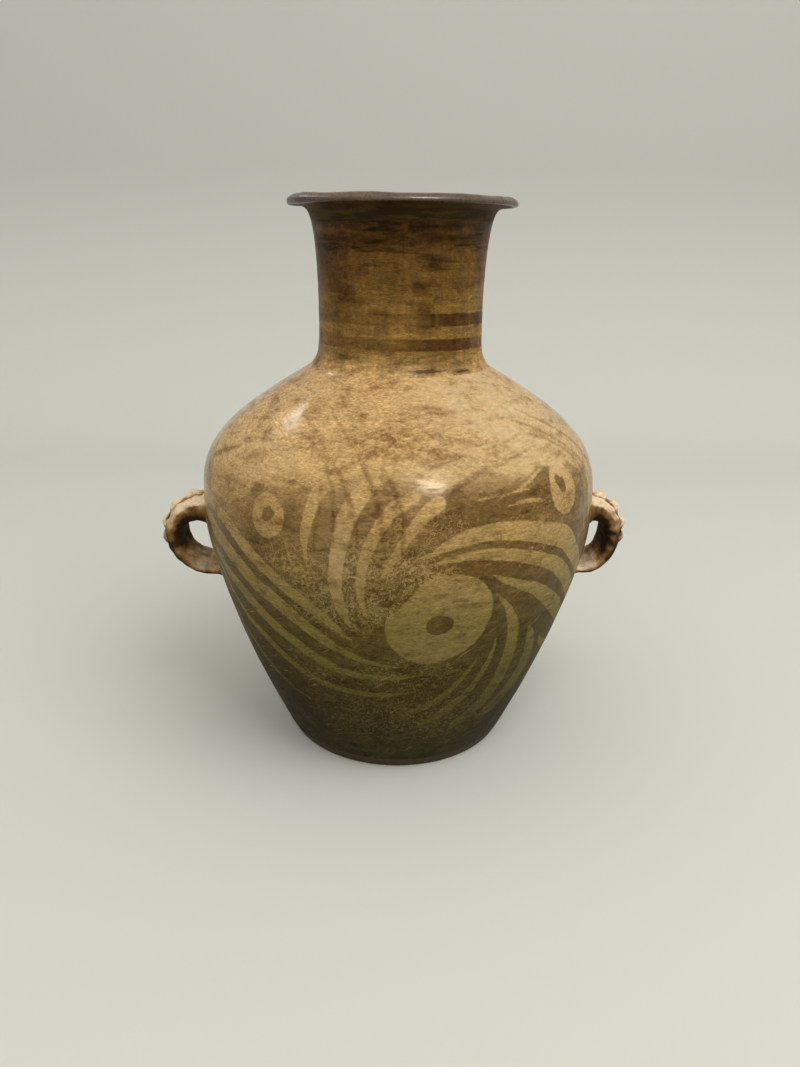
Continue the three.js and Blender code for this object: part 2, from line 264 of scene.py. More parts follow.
SWEEP_LEFT = [
    [(-85, 186, 0.8), (-81.5, 188.5, 3), (-78.3, 192.5, 6), (-75, 196, 8.5), (-70, 198.5, 10), (-65, 199, 9.5),
     (-60, 196.5, 8.5), (-55, 192.5, 9), (-49, 187, 9.5), (-45, 181, 9), (-39, 171.5, 9), (-32.5, 162, 9),
     (-27, 153.5, 9), (-22, 145.5, 8), (-18, 138, 6.5), (-14.5, 131, 4), (-12, 126, 1.5)],
    [(-81, 181.5, 0.8), (-78.3, 183.8, 3), (-74, 185.3, 5), (-69, 185.5, 6.5), (-63.5, 183, 8.5), (-57, 176, 11),
     (-50, 168, 12), (-45, 160.5, 12), (-40.5, 152.5, 12), (-35, 146.5, 12), (-30, 138.5, 11), (-25, 130, 9.5),
     (-20, 122, 8), (-15, 115.5, 6), (-10, 110.5, 4.5), (-5, 107.5, 3), (1, 105, 1.2)],
    [(-65.5, 171.5, 1.2), (-62.5, 166, 4), (-58.5, 159, 7.5), (-54, 151, 9.5), (-49, 144, 10), (-43, 133.5, 10),
     (-38, 124.5, 9.5), (-32, 116, 9), (-29, 112, 9), (-25, 106.5, 9), (-20, 101.5, 8), (-15, 98, 6.5),
     (-8, 96, 4.5), (0, 96, 2.5), (6, 97.5, 1)],
    [(-64, 158, 0.8), (-61.8, 152, 2.5), (-59.2, 145, 4), (-56.5, 136, 5), (-53, 126, 5.5), (-49, 116.5, 6),
     (-44, 109.5, 6.5), (-41, 104.5, 6.5), (-37, 98, 6), (-33, 92, 6), (-29, 87.5, 6), (-24, 83.5, 5.5),
     (-18, 81, 5.5), (-10, 80, 5), (-3, 80.5, 4), (4, 82.5, 1.5)],
    [(-57, 108, 1), (-55.5, 100, 3.5), (-53, 93, 4.5), (-49, 84, 5), (-43, 74, 5), (-38, 67, 4), (-32, 62, 3)],
]
FAN_CENTRE = [
    [(-12.2, 138, 3), (-13.5, 146, 5.5), (-14.6, 155, 7), (-15.1, 170, 8.5), (-14.5, 185, 9.5), (-13.4, 198, 10.5),
     (-12, 210, 11.5), (-10, 219, 11), (-7, 227, 9), (-2.5, 233, 6)],
    [(-7.8, 146, 2), (-8.6, 155, 3.5), (-9, 165, 5), (-8.6, 174, 6), (-8, 183, 6.5), (-6.6, 193, 7), (-5, 201, 7.5),
     (-3, 209, 8), (-0.3, 216, 8), (4, 221, 8)],
    [(-3.6, 173, 1.5), (-2, 181, 3.5), (0, 189, 5), (1.7, 196, 6), (3.3, 202, 6.5), (5.2, 208, 7), (7, 213, 8),
     (10, 218, 9)],
    [(-22.4, 178, 1.4), (-22.9, 187, 3), (-23, 196, 6), (-22.3, 205, 7.5), (-21.4, 213, 8), (-20.5, 220, 8),
     (-19, 225, 8)],
    [(-28.6, 190, 1.6), (-28, 183, 2), (-27, 177, 2), (-25.4, 171, 1.4)],
    [(-22.6, 171, 1.4), (-24.5, 167.5, 1.7), (-27, 163.5, 1.4)],
]
SWEEP_RIGHT = [
    [(5, 186, 0.8), (8.5, 188.5, 3), (11.7, 192.5, 6), (15, 196, 8.5), (20, 198.5, 10), (25, 199, 11),
     (30, 197.5, 12), (35, 195, 13), (40, 191.5, 14), (45, 187.5, 15), (50, 182, 15), (54, 173, 14), (58, 164, 12),
     (63, 153, 10), (68, 144.5, 8.5), (72, 137, 6.5), (75.5, 131, 4), (78, 126, 1.5)],
    [(9, 181.5, 0.8), (11.7, 183.8, 3), (16, 185.3, 5), (21, 185.5, 6.5), (26.5, 184, 8), (31.5, 181, 8.5),
     (37, 176.5, 9), (41, 172.5, 9.5), (46, 166.5, 10.5), (51, 158, 11), (55.5, 149, 11), (60, 140, 11),
     (65, 130.5, 9.5), (70, 122, 8), (75, 115.5, 6), (80, 110.5, 4.5), (85, 107.5, 3), (91, 105, 1.2)],
    [(24.5, 171.5, 1.2), (27.5, 167, 3.5), (31.5, 162.5, 5.5), (35, 158.5, 7), (39, 154, 8.5), (42, 149.5, 9.5),
     (45.5, 143.5, 11), (50, 135.5, 12), (55, 127, 12.5), (60, 118.5, 12), (65, 110.5, 10.5), (70, 104, 9),
     (75, 99.5, 7), (82, 96.5, 5), (90, 96, 3), (96, 97.5, 1)],
    [(52, 105, 1.5), (55, 97.5, 4.5), (60, 90, 6.5), (66, 84.5, 6), (72, 81.5, 5.5), (80, 80, 5), (87, 80.5, 4),
     (94, 82.5, 1.5)],
]
FAN_BELOW = [
    [(26, 158, 0.8), (28.2, 152, 2.5), (30.8, 145, 4.5), (32.5, 138, 6.5), (34.2, 131, 8.5), (35.6, 122, 10),
     (36.6, 112, 11), (37.2, 102, 11.5), (37.2, 90, 12), (36.6, 80, 12), (35.2, 70, 12), (33, 61, 11.5),
     (29, 52, 10), (23, 44, 8)],
    [(42, 122.5, 1.2), (43.6, 117, 4.5), (45.3, 111, 7.5), (47, 103, 10), (48.3, 94, 12), (48.8, 84, 14),
     (48.2, 74, 15), (46, 64, 15), (42, 54, 13), (36, 45, 10)],
]
THIN_BELOW = [
    [(29.6, 121, 0.8), (29.8, 114, 2.5), (29.6, 106, 3.5), (29, 98, 4.5), (27.8, 89, 5.2), (26, 80, 6),
     (23.5, 72, 7), (20, 65, 7.5), (15, 57, 7), (9, 50, 5)],
    [(24.6, 106, 0.8), (23.4, 99, 3), (21.6, 92, 4), (19.4, 84.5, 5), (16.5, 77, 6), (13, 71, 6), (8, 65, 5),
     (2, 60, 3)],
]
LIGHT_LEAVES = [
    [(27.5, 212.3, 0.6), (31, 213.7, 2), (35, 213.8, 2.8), (39, 212.4, 2.4), (42.5, 209, 0.6)],
    [(32, 220.5, 0.5), (35.5, 222.9, 1.8), (39, 225.9, 2.2), (43.5, 229.6, 0.8)],
    [(26.5, 218.3, 0.4), (31, 219.7, 1.3), (36, 219.7, 0.6)],
    [(19.5, 217.8, 0.4), (22.5, 218.8, 1.1), (25.5, 219.6, 0.4)],
]
BRUSH_LEAVES = [
    [(42.9, 227, 2.2), (42.2, 218, 3.4), (42.2, 211, 4), (43, 204, 5)],
    [(46, 231.5, 1), (50, 233, 2), (54, 232.6, 1.6), (58, 233.5, 2), (62, 232.5, 0.8)],
    [(55.6, 228, 2.5), (57, 224, 6), (58, 220, 2)],
    [(56.5, 210, 2), (57, 206, 5), (56.8, 201, 2.5)],
    [(55.8, 186, 2), (56.5, 180, 4), (57.5, 173, 3)],
    [(-40, 219, 3), (-31, 218.4, 2.6), (-25, 218.6, 2)],
    [(9, 235, 1.5), (13, 238, 3), (18, 240.5, 4), (21, 241.5, 1.5)],
]
# The line up to which the dark ground was laid, as degrees round the jar and height.
GROUND_TOP = [(-62, 203), (-55, 203), (-50, 204), (-46, 206), (-42.5, 211), (-41, 216), (-39, 220), (-30, 221),
              (-25, 222), (-20, 225), (-14, 229), (-8, 234), (-4, 236), (0, 235), (4, 230), (9, 225), (13, 226),
              (17, 230), (21, 233.5), (25, 235), (28, 231), (31, 227), (35, 225), (39, 228), (43, 231), (47, 228),
              (55, 226), (60, 222), (62, 219.7), (65, 219.5), (70, 221), (76, 226), (82, 232), (86, 233),
              (90, 230), (94, 226), (99, 224), (103, 224), (107, 226), (111, 226), (114, 221), (116.5, 213),
              (118, 204)]

# %% [markdown]
# The painter went round the belly four times, from eye to eye. The front half is written above, the eye on its
# right-hand side repeats the front one a quarter turn on, and the far half repeats the whole with a small shift of
# each stroke, because no two strokes of a hand come out alike.

# %% Distances to the strokes
REACH = 14.0


def soft_curve(points):
    """A smooth curve through rows of numbers, six steps to each."""
    rows = np.array(points, float)
    rows = np.vstack([2 * rows[0] - rows[1], rows, 2 * rows[-1] - rows[-2]])
    t = np.linspace(0, 1, 6, endpoint=False)[:, None]
    parts = []
    for a, b, c, d in zip(rows, rows[1:], rows[2:], rows[3:]):
        parts.append(0.5 * (2 * b + (c - a) * t + (2 * a - 5 * b + 4 * c - d) * t**2
                            + (3 * b - a - 3 * c + d) * t**3))
    return np.vstack(parts + [rows[-2:-1]])


def on_wall(degrees, height):
    turn, radius = np.radians(degrees), wall_radius(height)
    return np.stack([radius * np.sin(turn), -radius * np.cos(turn), height], -1)


def turn_of(points):
    """Where points lie round the jar, in degrees from the front."""
    return np.degrees(np.arctan2(points[:, 0], -points[:, 1]))


def near_line(points, line):
    """Which points lie within reach of a line, and for each of its pieces the distance and the share along it."""
    low, high = line.min(0) - REACH, line.max(0) + REACH
    close = np.nonzero(np.all((points > low) & (points < high), -1))[0]
    pieces = []
    for start, end in zip(line[:-1], line[1:]):
        way = end - start
        share = np.clip((points[close] - start) @ way / max(way @ way, 1e-9), 0, 1)
        pieces.append((np.linalg.norm(points[close] - start - share[:, None] * way, axis=1), share))
    return close, pieces


def lay_stroke(points, depth, stroke):
    """Raises depth to how far inside a stroke each point lies, less than 0 outside."""
    path = soft_curve(stroke)
    half = np.maximum(path[:, 2], 0.2) / 2
    close, pieces = near_line(points, on_wall(path[:, 0], path[:, 1]))
    for (distance, share), a, b in zip(pieces, half[:-1], half[1:]):
        depth[close] = np.maximum(depth[close], a + (b - a) * share - distance)


def lay_outline(points, depth, outline):
    """The same for a closed outline."""
    path = soft_curve(outline + outline[:1])
    close, pieces = near_line(points, on_wall(path[:, 0], path[:, 1]))
    distance = np.min([d for d, _ in pieces], axis=0)
    middle = (path[:, 0].min() + path[:, 0].max()) / 2
    degrees = middle + (turn_of(points[close]) - middle + 180) % 360 - 180
    height = points[close, 2]
    within = np.zeros(len(close), bool)
    for (x0, y0), (x1, y1) in zip(path[:-1], path[1:]):
        if y0 != y1:
            crossing = x0 + (height - y0) / (y1 - y0) * (x1 - x0)
            within ^= ((y0 > height) != (y1 > height)) & (degrees < crossing)
    depth[close] = np.maximum(depth[close], np.where(within, distance, -distance))


def spot(degrees, height, half_wide, half_high, lean=0.0, lumps=0.0):
    """Outline of a dabbed spot, with half sizes in millimetres."""
    outline = []
    for i in range(14):
        angle = 2 * math.pi * i / 14
        size = 1 + lumps * math.sin(3 * angle + 1) + lumps * 0.6 * math.sin(5 * angle)
        across, up = half_wide * size * math.cos(angle), half_high * size * math.sin(angle)
        across += lean * up
        outline.append((degrees + math.degrees(across / float(wall_radius(height))), height + up))
    return outline


def shifted(shapes, by):
    return [[(row[0] + by,) + tuple(row[1:]) for row in shape] for shape in shapes]


def hand_shifted(shapes, by, seed):
    """Copies moved round by an angle, each with a small turn and rise of its own."""
    random = np.random.default_rng(seed)
    copies = []
    for shape in shapes:
        turn, rise = by + random.normal(0, 0.5), random.normal(0, 1.2)
        copies.append([(row[0] + turn, row[1] + rise) + tuple(row[2:]) for row in shape])
    return copies


PUPIL = spot(11.5, 139, 8.9, 7.6, 0, 0.03)
PUPIL_LEFT = spot(-34.1, 204, 4.9, 4.8, 0.25, 0.06)
PUPIL_RIGHT = spot(48.7, 218, 4.3, 5.4, -0.35, 0.12)

QUARTER = 90
front_bands = SWEEP_LEFT + FAN_CENTRE + SWEEP_RIGHT + FAN_BELOW + THIN_BELOW + LIGHT_LEAVES
side_bands = hand_shifted(FAN_CENTRE, QUARTER, 5) + hand_shifted(THIN_BELOW, QUARTER - 1, 6)
half_bands = front_bands + side_bands
half_eyes = [EYE, SMALL_EYE_LEFT, SMALL_EYE_RIGHT] + shifted([EYE], QUARTER)
half_pupils = [PUPIL, PUPIL_LEFT, PUPIL_RIGHT] + shifted([PUPIL], QUARTER)

all_bands = half_bands + hand_shifted(half_bands, HALF_ROUND, 7)
all_eyes = half_eyes + shifted(half_eyes, HALF_ROUND)
all_pupils = half_pupils + shifted(half_pupils, HALF_ROUND)
all_leaves = BRUSH_LEAVES + hand_shifted(BRUSH_LEAVES, HALF_ROUND, 8)
print(len(all_bands), "bands,", len(all_eyes), "eyes,", len(all_leaves), "brush leaves")


def depth_of(points, strokes=(), outlines=()):
    depth = np.full(len(points), -REACH)
    for stroke in strokes:
        lay_stroke(points, depth, stroke)
    for outline in outlines:
        lay_outline(points, depth, outline)
    return depth


def bare_clay_depth(points):
    """Signed distance into the clay that was left bare, in millimetres, less than 0 in the painted ground."""
    first = GROUND_TOP[0][0]
    folded = first + (turn_of(points) - first) % HALF_ROUND
    top = np.interp(folded, [d for d, _ in GROUND_TOP], [h for _, h in GROUND_TOP])
    depth = np.clip(points[:, 2] - top, -REACH, REACH)
    depth = np.maximum(depth, depth_of(points, all_bands))
    depth = np.minimum(depth, -depth_of(points, all_leaves))
    depth = np.maximum(depth, depth_of(points, (), all_eyes))
    return np.minimum(depth, -depth_of(points, (), all_pupils))


# %% [markdown]
# Higher on the shoulder the paint has mostly rubbed away. A few smears of it are left, which are strokes too, and
# the two rings painted round the neck are stored the same way. The front rings are strong on the right and nearly
# gone on the left, so their strength is stored beside them.

# %% Remnants, rings and wear
SMEARS = [
    [(-20, 231, 0.8), (-14, 236, 1.6), (-8, 241, 1.4), (0, 246, 1.6), (7, 248.5, 0.8)],
    [(-18, 243.5, 1), (-12, 244.5, 1.8), (-6, 244, 1.8), (0, 242, 1.8), (6, 243, 1)],
    [(-12, 250, 3), (-8, 251, 5), (-3, 250, 6), (2, 251, 4), (8, 249, 2)],
    [(9, 235, 1.5), (13, 237.5, 2.5), (17, 240, 1.5)],
    [(12, 222, 3), (16, 226, 5), (20, 230, 4.5), (25, 234, 3)],
    [(10, 260, 2), (14, 260.5, 3.5), (20, 259, 1.5)],
    [(-6, 256, 1.2), (-2, 257.5, 2.4), (2, 256.5, 1)],
    [(-30, 246, 1), (-24, 247, 1.8), (-21, 245, 1)],
    [(26, 242, 0.8), (34, 244, 1.6), (44, 247, 1)],
    [(28, 234, 0.6), (36, 237, 1.2), (45, 240, 0.6)],
    [(38, 258, 0.6), (46, 253, 1.6), (54, 246, 2.6), (61, 236, 3), (66, 224, 3), (69, 208, 2.8), (70, 190, 2)],
    [(52, 258, 0.6), (60, 250, 2), (67, 240, 3), (72, 226, 3.4), (75, 208, 3), (76, 190, 2)],
    [(47, 246, 0.8), (54, 241, 2), (60, 232, 2.6), (63.5, 220, 2.8), (64.5, 206, 2.6), (64, 190, 1.6)],
    [(60, 228, 1), (61, 214, 1.6), (60.5, 200, 1.6), (60, 186, 1)],
    [(76, 236, 1), (80, 224, 3), (82, 208, 3), (82, 190, 2)],
    [(34, 274.5, 0.5), (44, 273, 1.2), (55, 271, 1), (64, 268, 0.4)],
    [(24, 269.5, 0.5), (32, 268.5, 1.4), (41, 267, 0.6)],
]


def neck_ring(height, sinking, lean, width):
    """A ring round the neck that sinks towards the back and leans a little to one side."""
    return [(d, height - sinking * (1 - math.cos(math.radians(d))) - lean * math.sin(math.radians(d)), width)
            for d in range(-180, 181, 20)]


NECK_RINGS = [neck_ring(312.6, 1.2, 0.4, 8.0), neck_ring(297.2, 1.4, 0.5, 7.6)]
NECK_CRACKS = [
    [(18, 281.5, 0.5), (30, 280.6, 1.0), (44, 279.6, 1.2), (56, 279, 0.6)],
    [(6, 281.2, 0.6), (14, 281, 2.2), (22, 281.4, 1.6), (27, 281.2, 0.5)],
    [(70, 286, 0.6), (95, 285, 0.9), (120, 285.5, 0.5)],
    [(190, 283, 0.5), (215, 282, 1.1), (236, 282.4, 0.5)],
]
all_smears = SMEARS + hand_shifted(SMEARS, 95, 9) + hand_shifted(SMEARS, HALF_ROUND, 10)
all_smears += hand_shifted(SMEARS, -80, 13)

# Places by degrees round the jar, height, half width in degrees, half height and strength.
# Haze is slip left on the shoulder; the broad places low on the belly and at its left edge are painted shade
# instead.
HAZE_AND_LOW_SHADE = [
    (-56, 145, 12, 36, 0.7), (1, 243, 14, 7, 0.45), (-30, 263, 16, 6, 0.35), (-6, 248, 12, 6, 0.95),
    (10, 247, 9, 7, 0.75), (-20, 238, 6, 5, 0.5), (-32, 259, 8, 4, 0.35), (0, 260, 6, 3, 0.45),
    (16, 260, 7, 3, 0.5), (22, 226, 10, 7, 0.6), (-52, 212, 11, 8, 0.5), (-30, 225, 16, 4, 0.35),
    (60, 222, 5, 6, 0.3), (18, 240, 4, 3, 0.6), (0, 272, 60, 4, 0.1), (92, 243, 20, 9, 0.6),
    (128, 250, 12, 6, 0.4), (172, 245, 16, 7, 0.8), (205, 238, 12, 7, 0.5), (240, 250, 16, 6, 0.4),
    (275, 240, 18, 8, 0.55), (-52, 45, 20, 38, 2.0), (52, 32, 14, 22, 1.5), (150, 40, 30, 30, 0.5),
    (230, 50, 30, 30, 0.6),
]
WORN = [
    (-16, 142, 12, 16, 0.13), (-33, 178, 8, 12, 0.1), (4, 178, 8, 16, 0.24), (10, 172, 4, 8, 0.24),
    (-4, 150, 7, 10, 0.26), (-10, 178, 7, 18, 0.2), (-24, 172, 7, 16, 0.2), (-20, 150, 10, 12, 0.12),
    (30, 185, 10, 6, 0.07), (0, 100, 22, 14, 0.15), (6, 56, 32, 26, 0.2), (38, 182, 3, 5, 0.22),
    (9, 205, 10, 10, 0.12), (-27, 92, 8, 10, 0.14), (44, 205, 14, 12, 0.1), (185, 170, 30, 40, 0.14),
    (110, 200, 25, 20, 0.14), (-95, 180, 22, 30, 0.12),
]
# Slip left at a place; the two broad places low on the belly add slip as painted shade.
SLIP_LEFT_AND_LOW_SHADE = [
    (-49, 208, 7, 11, -0.4), (-34, 203, 9, 15, 0.28), (36, 184, 20, 9, 0.4), (60, 150, 20, 40, 0.2),
    (32, 209, 22, 11, 0.5), (38, 207, 14, 7, 0.8), (34, 217, 10, 5, 0.9), (41, 226, 6, 5, 0.8),
    (49, 217, 5, 7, 1.0), (56, 205, 4, 8, 0.6), (-3, 212, 20, 12, 0.25), (13, 219, 8, 9, 0.35),
    (-50, 60, 22, 40, 0.4), (50, 40, 18, 30, 0.3), (13, 202, 3.5, 5, 0.3), (212, 206, 20, 11, 0.4),
    (-25, 176, 6, 14, -0.25), (-3, 175, 9, 15, -0.12), (88, 176, 10, 16, -0.15),
]
# Painted light: places where the clay is made paler where light falls, strongest on the right shoulder, with a
# painted highlight on the front of the shoulder. Negative strengths take it away.
PAINTED_LIGHT_PLACES = [
    (45, 243, 28, 34, 0.9), (40, 212, 18, 11, -0.9), (18, 156, 9, 9, 0.25), (36, 266, 24, 14, 0.5),
    (45, 272, 26, 12, 0.5), (-46, 230, 16, 11, 0.45), (6, 229, 8, 8, 0.5), (225, 235, 34, 30, 0.7),
    (-100, 240, 25, 25, 0.5), (-14, 182, 6, 28, 0.6), (12, 122, 12, 14, 0.2),
]
# How much of the slip is left at each height, from the foot to the shoulder.
SLIP_HOLD_HEIGHTS = [0, 10, 30, 60, 80, 92, 108, 145, 158, 170, 187, 195, 215, 226, 236, 280]
SLIP_HOLD = [0.8, 0.8, 0.74, 0.76, 0.86, 0.93, 0.93, 0.95, 0.95, 0.9, 0.84, 0.64, 0.5, 0.36, 0.2, 0.2]


def bump_at(points, degrees, height, half_wide, half_high):
    """1 at a place, falling softly to 0 round it."""
    across = ((turn_of(points) - degrees + 180) % 360 - 180) / half_wide
    up = (points[:, 2] - height) / half_high
    return np.exp(-(across**2 + up**2))


def spread_of(points, places):
    return sum(size * bump_at(points, *place) for *place, size in places)


def put(made, name, values):
    """Stores one number on each of the first points, and 0 on the rest, which are inside."""
    full = np.zeros(len(made.data.vertices))
    full[: len(values)] = values
    made.data.attributes.new(name, "FLOAT", "POINT").data.foreach_set("value", full)

# %% [markdown]
# One small function adds a node with its settings and links, and one turns a written colour into the linear light
# that a shader wants. Every material below is built from those two.

# %% Node and colour helpers
def linear(code):
    """A linear colour from an sRGB hex value."""
    parts = [int(code[i:i + 2], 16) / 255 for i in (1, 3, 5)]
    return [c / 12.92 if c <= 0.04045 else ((c + 0.055) / 1.055) ** 2.4 for c in parts] + [1.0]


def add(tree, kind, inputs=None, stops=None, **settings):
    """Adds a node. Inputs are values or the sockets of other nodes, and stops fill a colour ramp."""
    made = tree.nodes.new(kind)
    for name, value in settings.items():
        setattr(made, name, value)
    for place, value in (inputs or {}).items():
        if isinstance(value, bpy.types.NodeSocket):
            tree.links.new(value, made.inputs[place])
        else:
            made.inputs[place].default_value = value
    if stops:
        elements = made.color_ramp.elements
        while len(elements) > 1:
            elements.remove(elements[-1])
        elements[0].position, elements[0].color = stops[0][0], linear(stops[0][1])
        for position, code in stops[1:]:
            elements.new(position).color = linear(code)
    return made


def new_material(name):
    """An empty node material and its tree."""
    material = bpy.data.materials.new(name)
    material.use_nodes = True
    material.node_tree.nodes.clear()
    return material, material.node_tree


def per_metre(millimetres):
    """The scale of a texture in metres whose features are this many millimetres across."""
    return 1000.0 / millimetres

# %% [markdown]
# The belly is burnished earthenware: buff clay rubbed with a pebble until it shines softly, and painted with an iron
# and manganese slip that fired dark brown. Thin slip shows the clay through in specks, wears off where the jar was
# handled, and ends in a brush edge that is never quite clean. Fired clay is a dielectric with an IOR near 1.5, and
# burnishing leaves it fairly smooth, so highlights are soft but visible.

# %% Painted, burnished earthenware
# The clay's colour by share of the jar's height: olive low and buff high, with painted shade darkening it towards
# the foot.
CLAY_AND_SHADE_BY_HEIGHT = [(0.00, "#241F10"), (0.035, "#564D29"), (0.14, "#5E5429"), (0.23, "#726730"), (0.29, "#85783E"),
                  (0.39, "#A28C4E"), (0.53, "#C29D61"), (0.61, "#D0AB72"), (0.70, "#D6AE76"), (0.735, "#CCA56D"),
                  (0.76, "#B28C52"), (0.80, "#AE874C"), (1.0, "#A88248")]
JAR_HEIGHT = LIP_HEIGHT * MM
PAINTED_LIGHT_CLAY = linear("#DCBE8C")
CLAY_STAIN = linear("#AE9874")
SLIP_TINT = linear("#908B82")
THIN_SLIP_TINT = linear("#B8AC9A")
SMEAR_AND_SHADE_TINT = linear("#B4A48E")
SCRATCH_LIGHT = linear("#D4B47C")
LOW_SCRATCH_LIGHT = linear("#97875A")
SOFT_SHINE = 0.12
CLAY_IOR = 1.5
BURNISHED = {"IOR": CLAY_IOR, "Specular IOR Level": SOFT_SHINE,
             "Specular Tint": linear("#FFEAD0")}


def clay_body(tree, place, height):
    """The bare clay under every finish: its colour by height, darker at the foot as painted shade, clouds, mottling,
    fine grit and brushed lines.
    """
    clouds = add(tree, "ShaderNodeTexNoise", {"Vector": place, "Scale": per_metre(38), "Detail": 4.0}).outputs[0]
    flat = add(tree, "ShaderNodeVectorMath", {0: place, 1: (0.7, 0.7, 1.7)}, operation="MULTIPLY").outputs[0]
    mottle = add(tree, "ShaderNodeTexNoise", {"Vector": flat, "Scale": per_metre(11), "Detail": 7.0,
                                              "Roughness": 0.66}).outputs[0]
    drawn = add(tree, "ShaderNodeVectorMath", {0: place, 1: (0.55, 0.55, 1.5)}, operation="MULTIPLY").outputs[0]
    grain = add(tree, "ShaderNodeTexNoise", {"Vector": drawn, "Scale": per_metre(2.4), "Detail": 4.0,
                                             "Roughness": 0.7}).outputs[0]
    speck = add(tree, "ShaderNodeTexNoise", {"Vector": drawn, "Scale": per_metre(1.1), "Detail": 1.0}).outputs[0]
    level = add(tree, "ShaderNodeVectorMath", {0: place, 1: (0.35, 0.35, 2.6)}, operation="MULTIPLY").outputs[0]
    turned = add(tree, "ShaderNodeTexNoise", {"Vector": level, "Scale": per_metre(7), "Detail": 6.0,
                                              "Roughness": 0.66}).outputs[0]
    lifted = add(tree, "ShaderNodeMath", {0: clouds, 1: 0.02, 2: height}, operation="MULTIPLY_ADD").outputs[0]
    lifted = add(tree, "ShaderNodeMapRange", {0: lifted, 1: 0.01, 2: JAR_HEIGHT + 0.01}).outputs[0]
    clay = add(tree, "ShaderNodeValToRGB", {0: lifted}, stops=CLAY_AND_SHADE_BY_HEIGHT).outputs[0]
    stained = add(tree, "ShaderNodeMapRange", {0: mottle, 1: 0.52, 2: 0.68, 4: 0.75}).outputs[0]
    clay = add(tree, "ShaderNodeMix", {0: stained, 6: clay, 7: CLAY_STAIN}, data_type="RGBA",
               blend_type="MULTIPLY").outputs[2]
    for noise, dark, light in ((mottle, 1.12, 0.94), (grain, 0.73, 1.23), (speck, 0.76, 1.26),
                               (turned, 0.86, 1.12)):
        tone = add(tree, "ShaderNodeMapRange", {0: noise, 1: 0.3, 2: 0.7, 3: dark, 4: light}).outputs[0]
        clay = add(tree, "ShaderNodeVectorMath", {0: clay, 3: tone}, operation="SCALE").outputs[0]
    return clay, mottle, grain


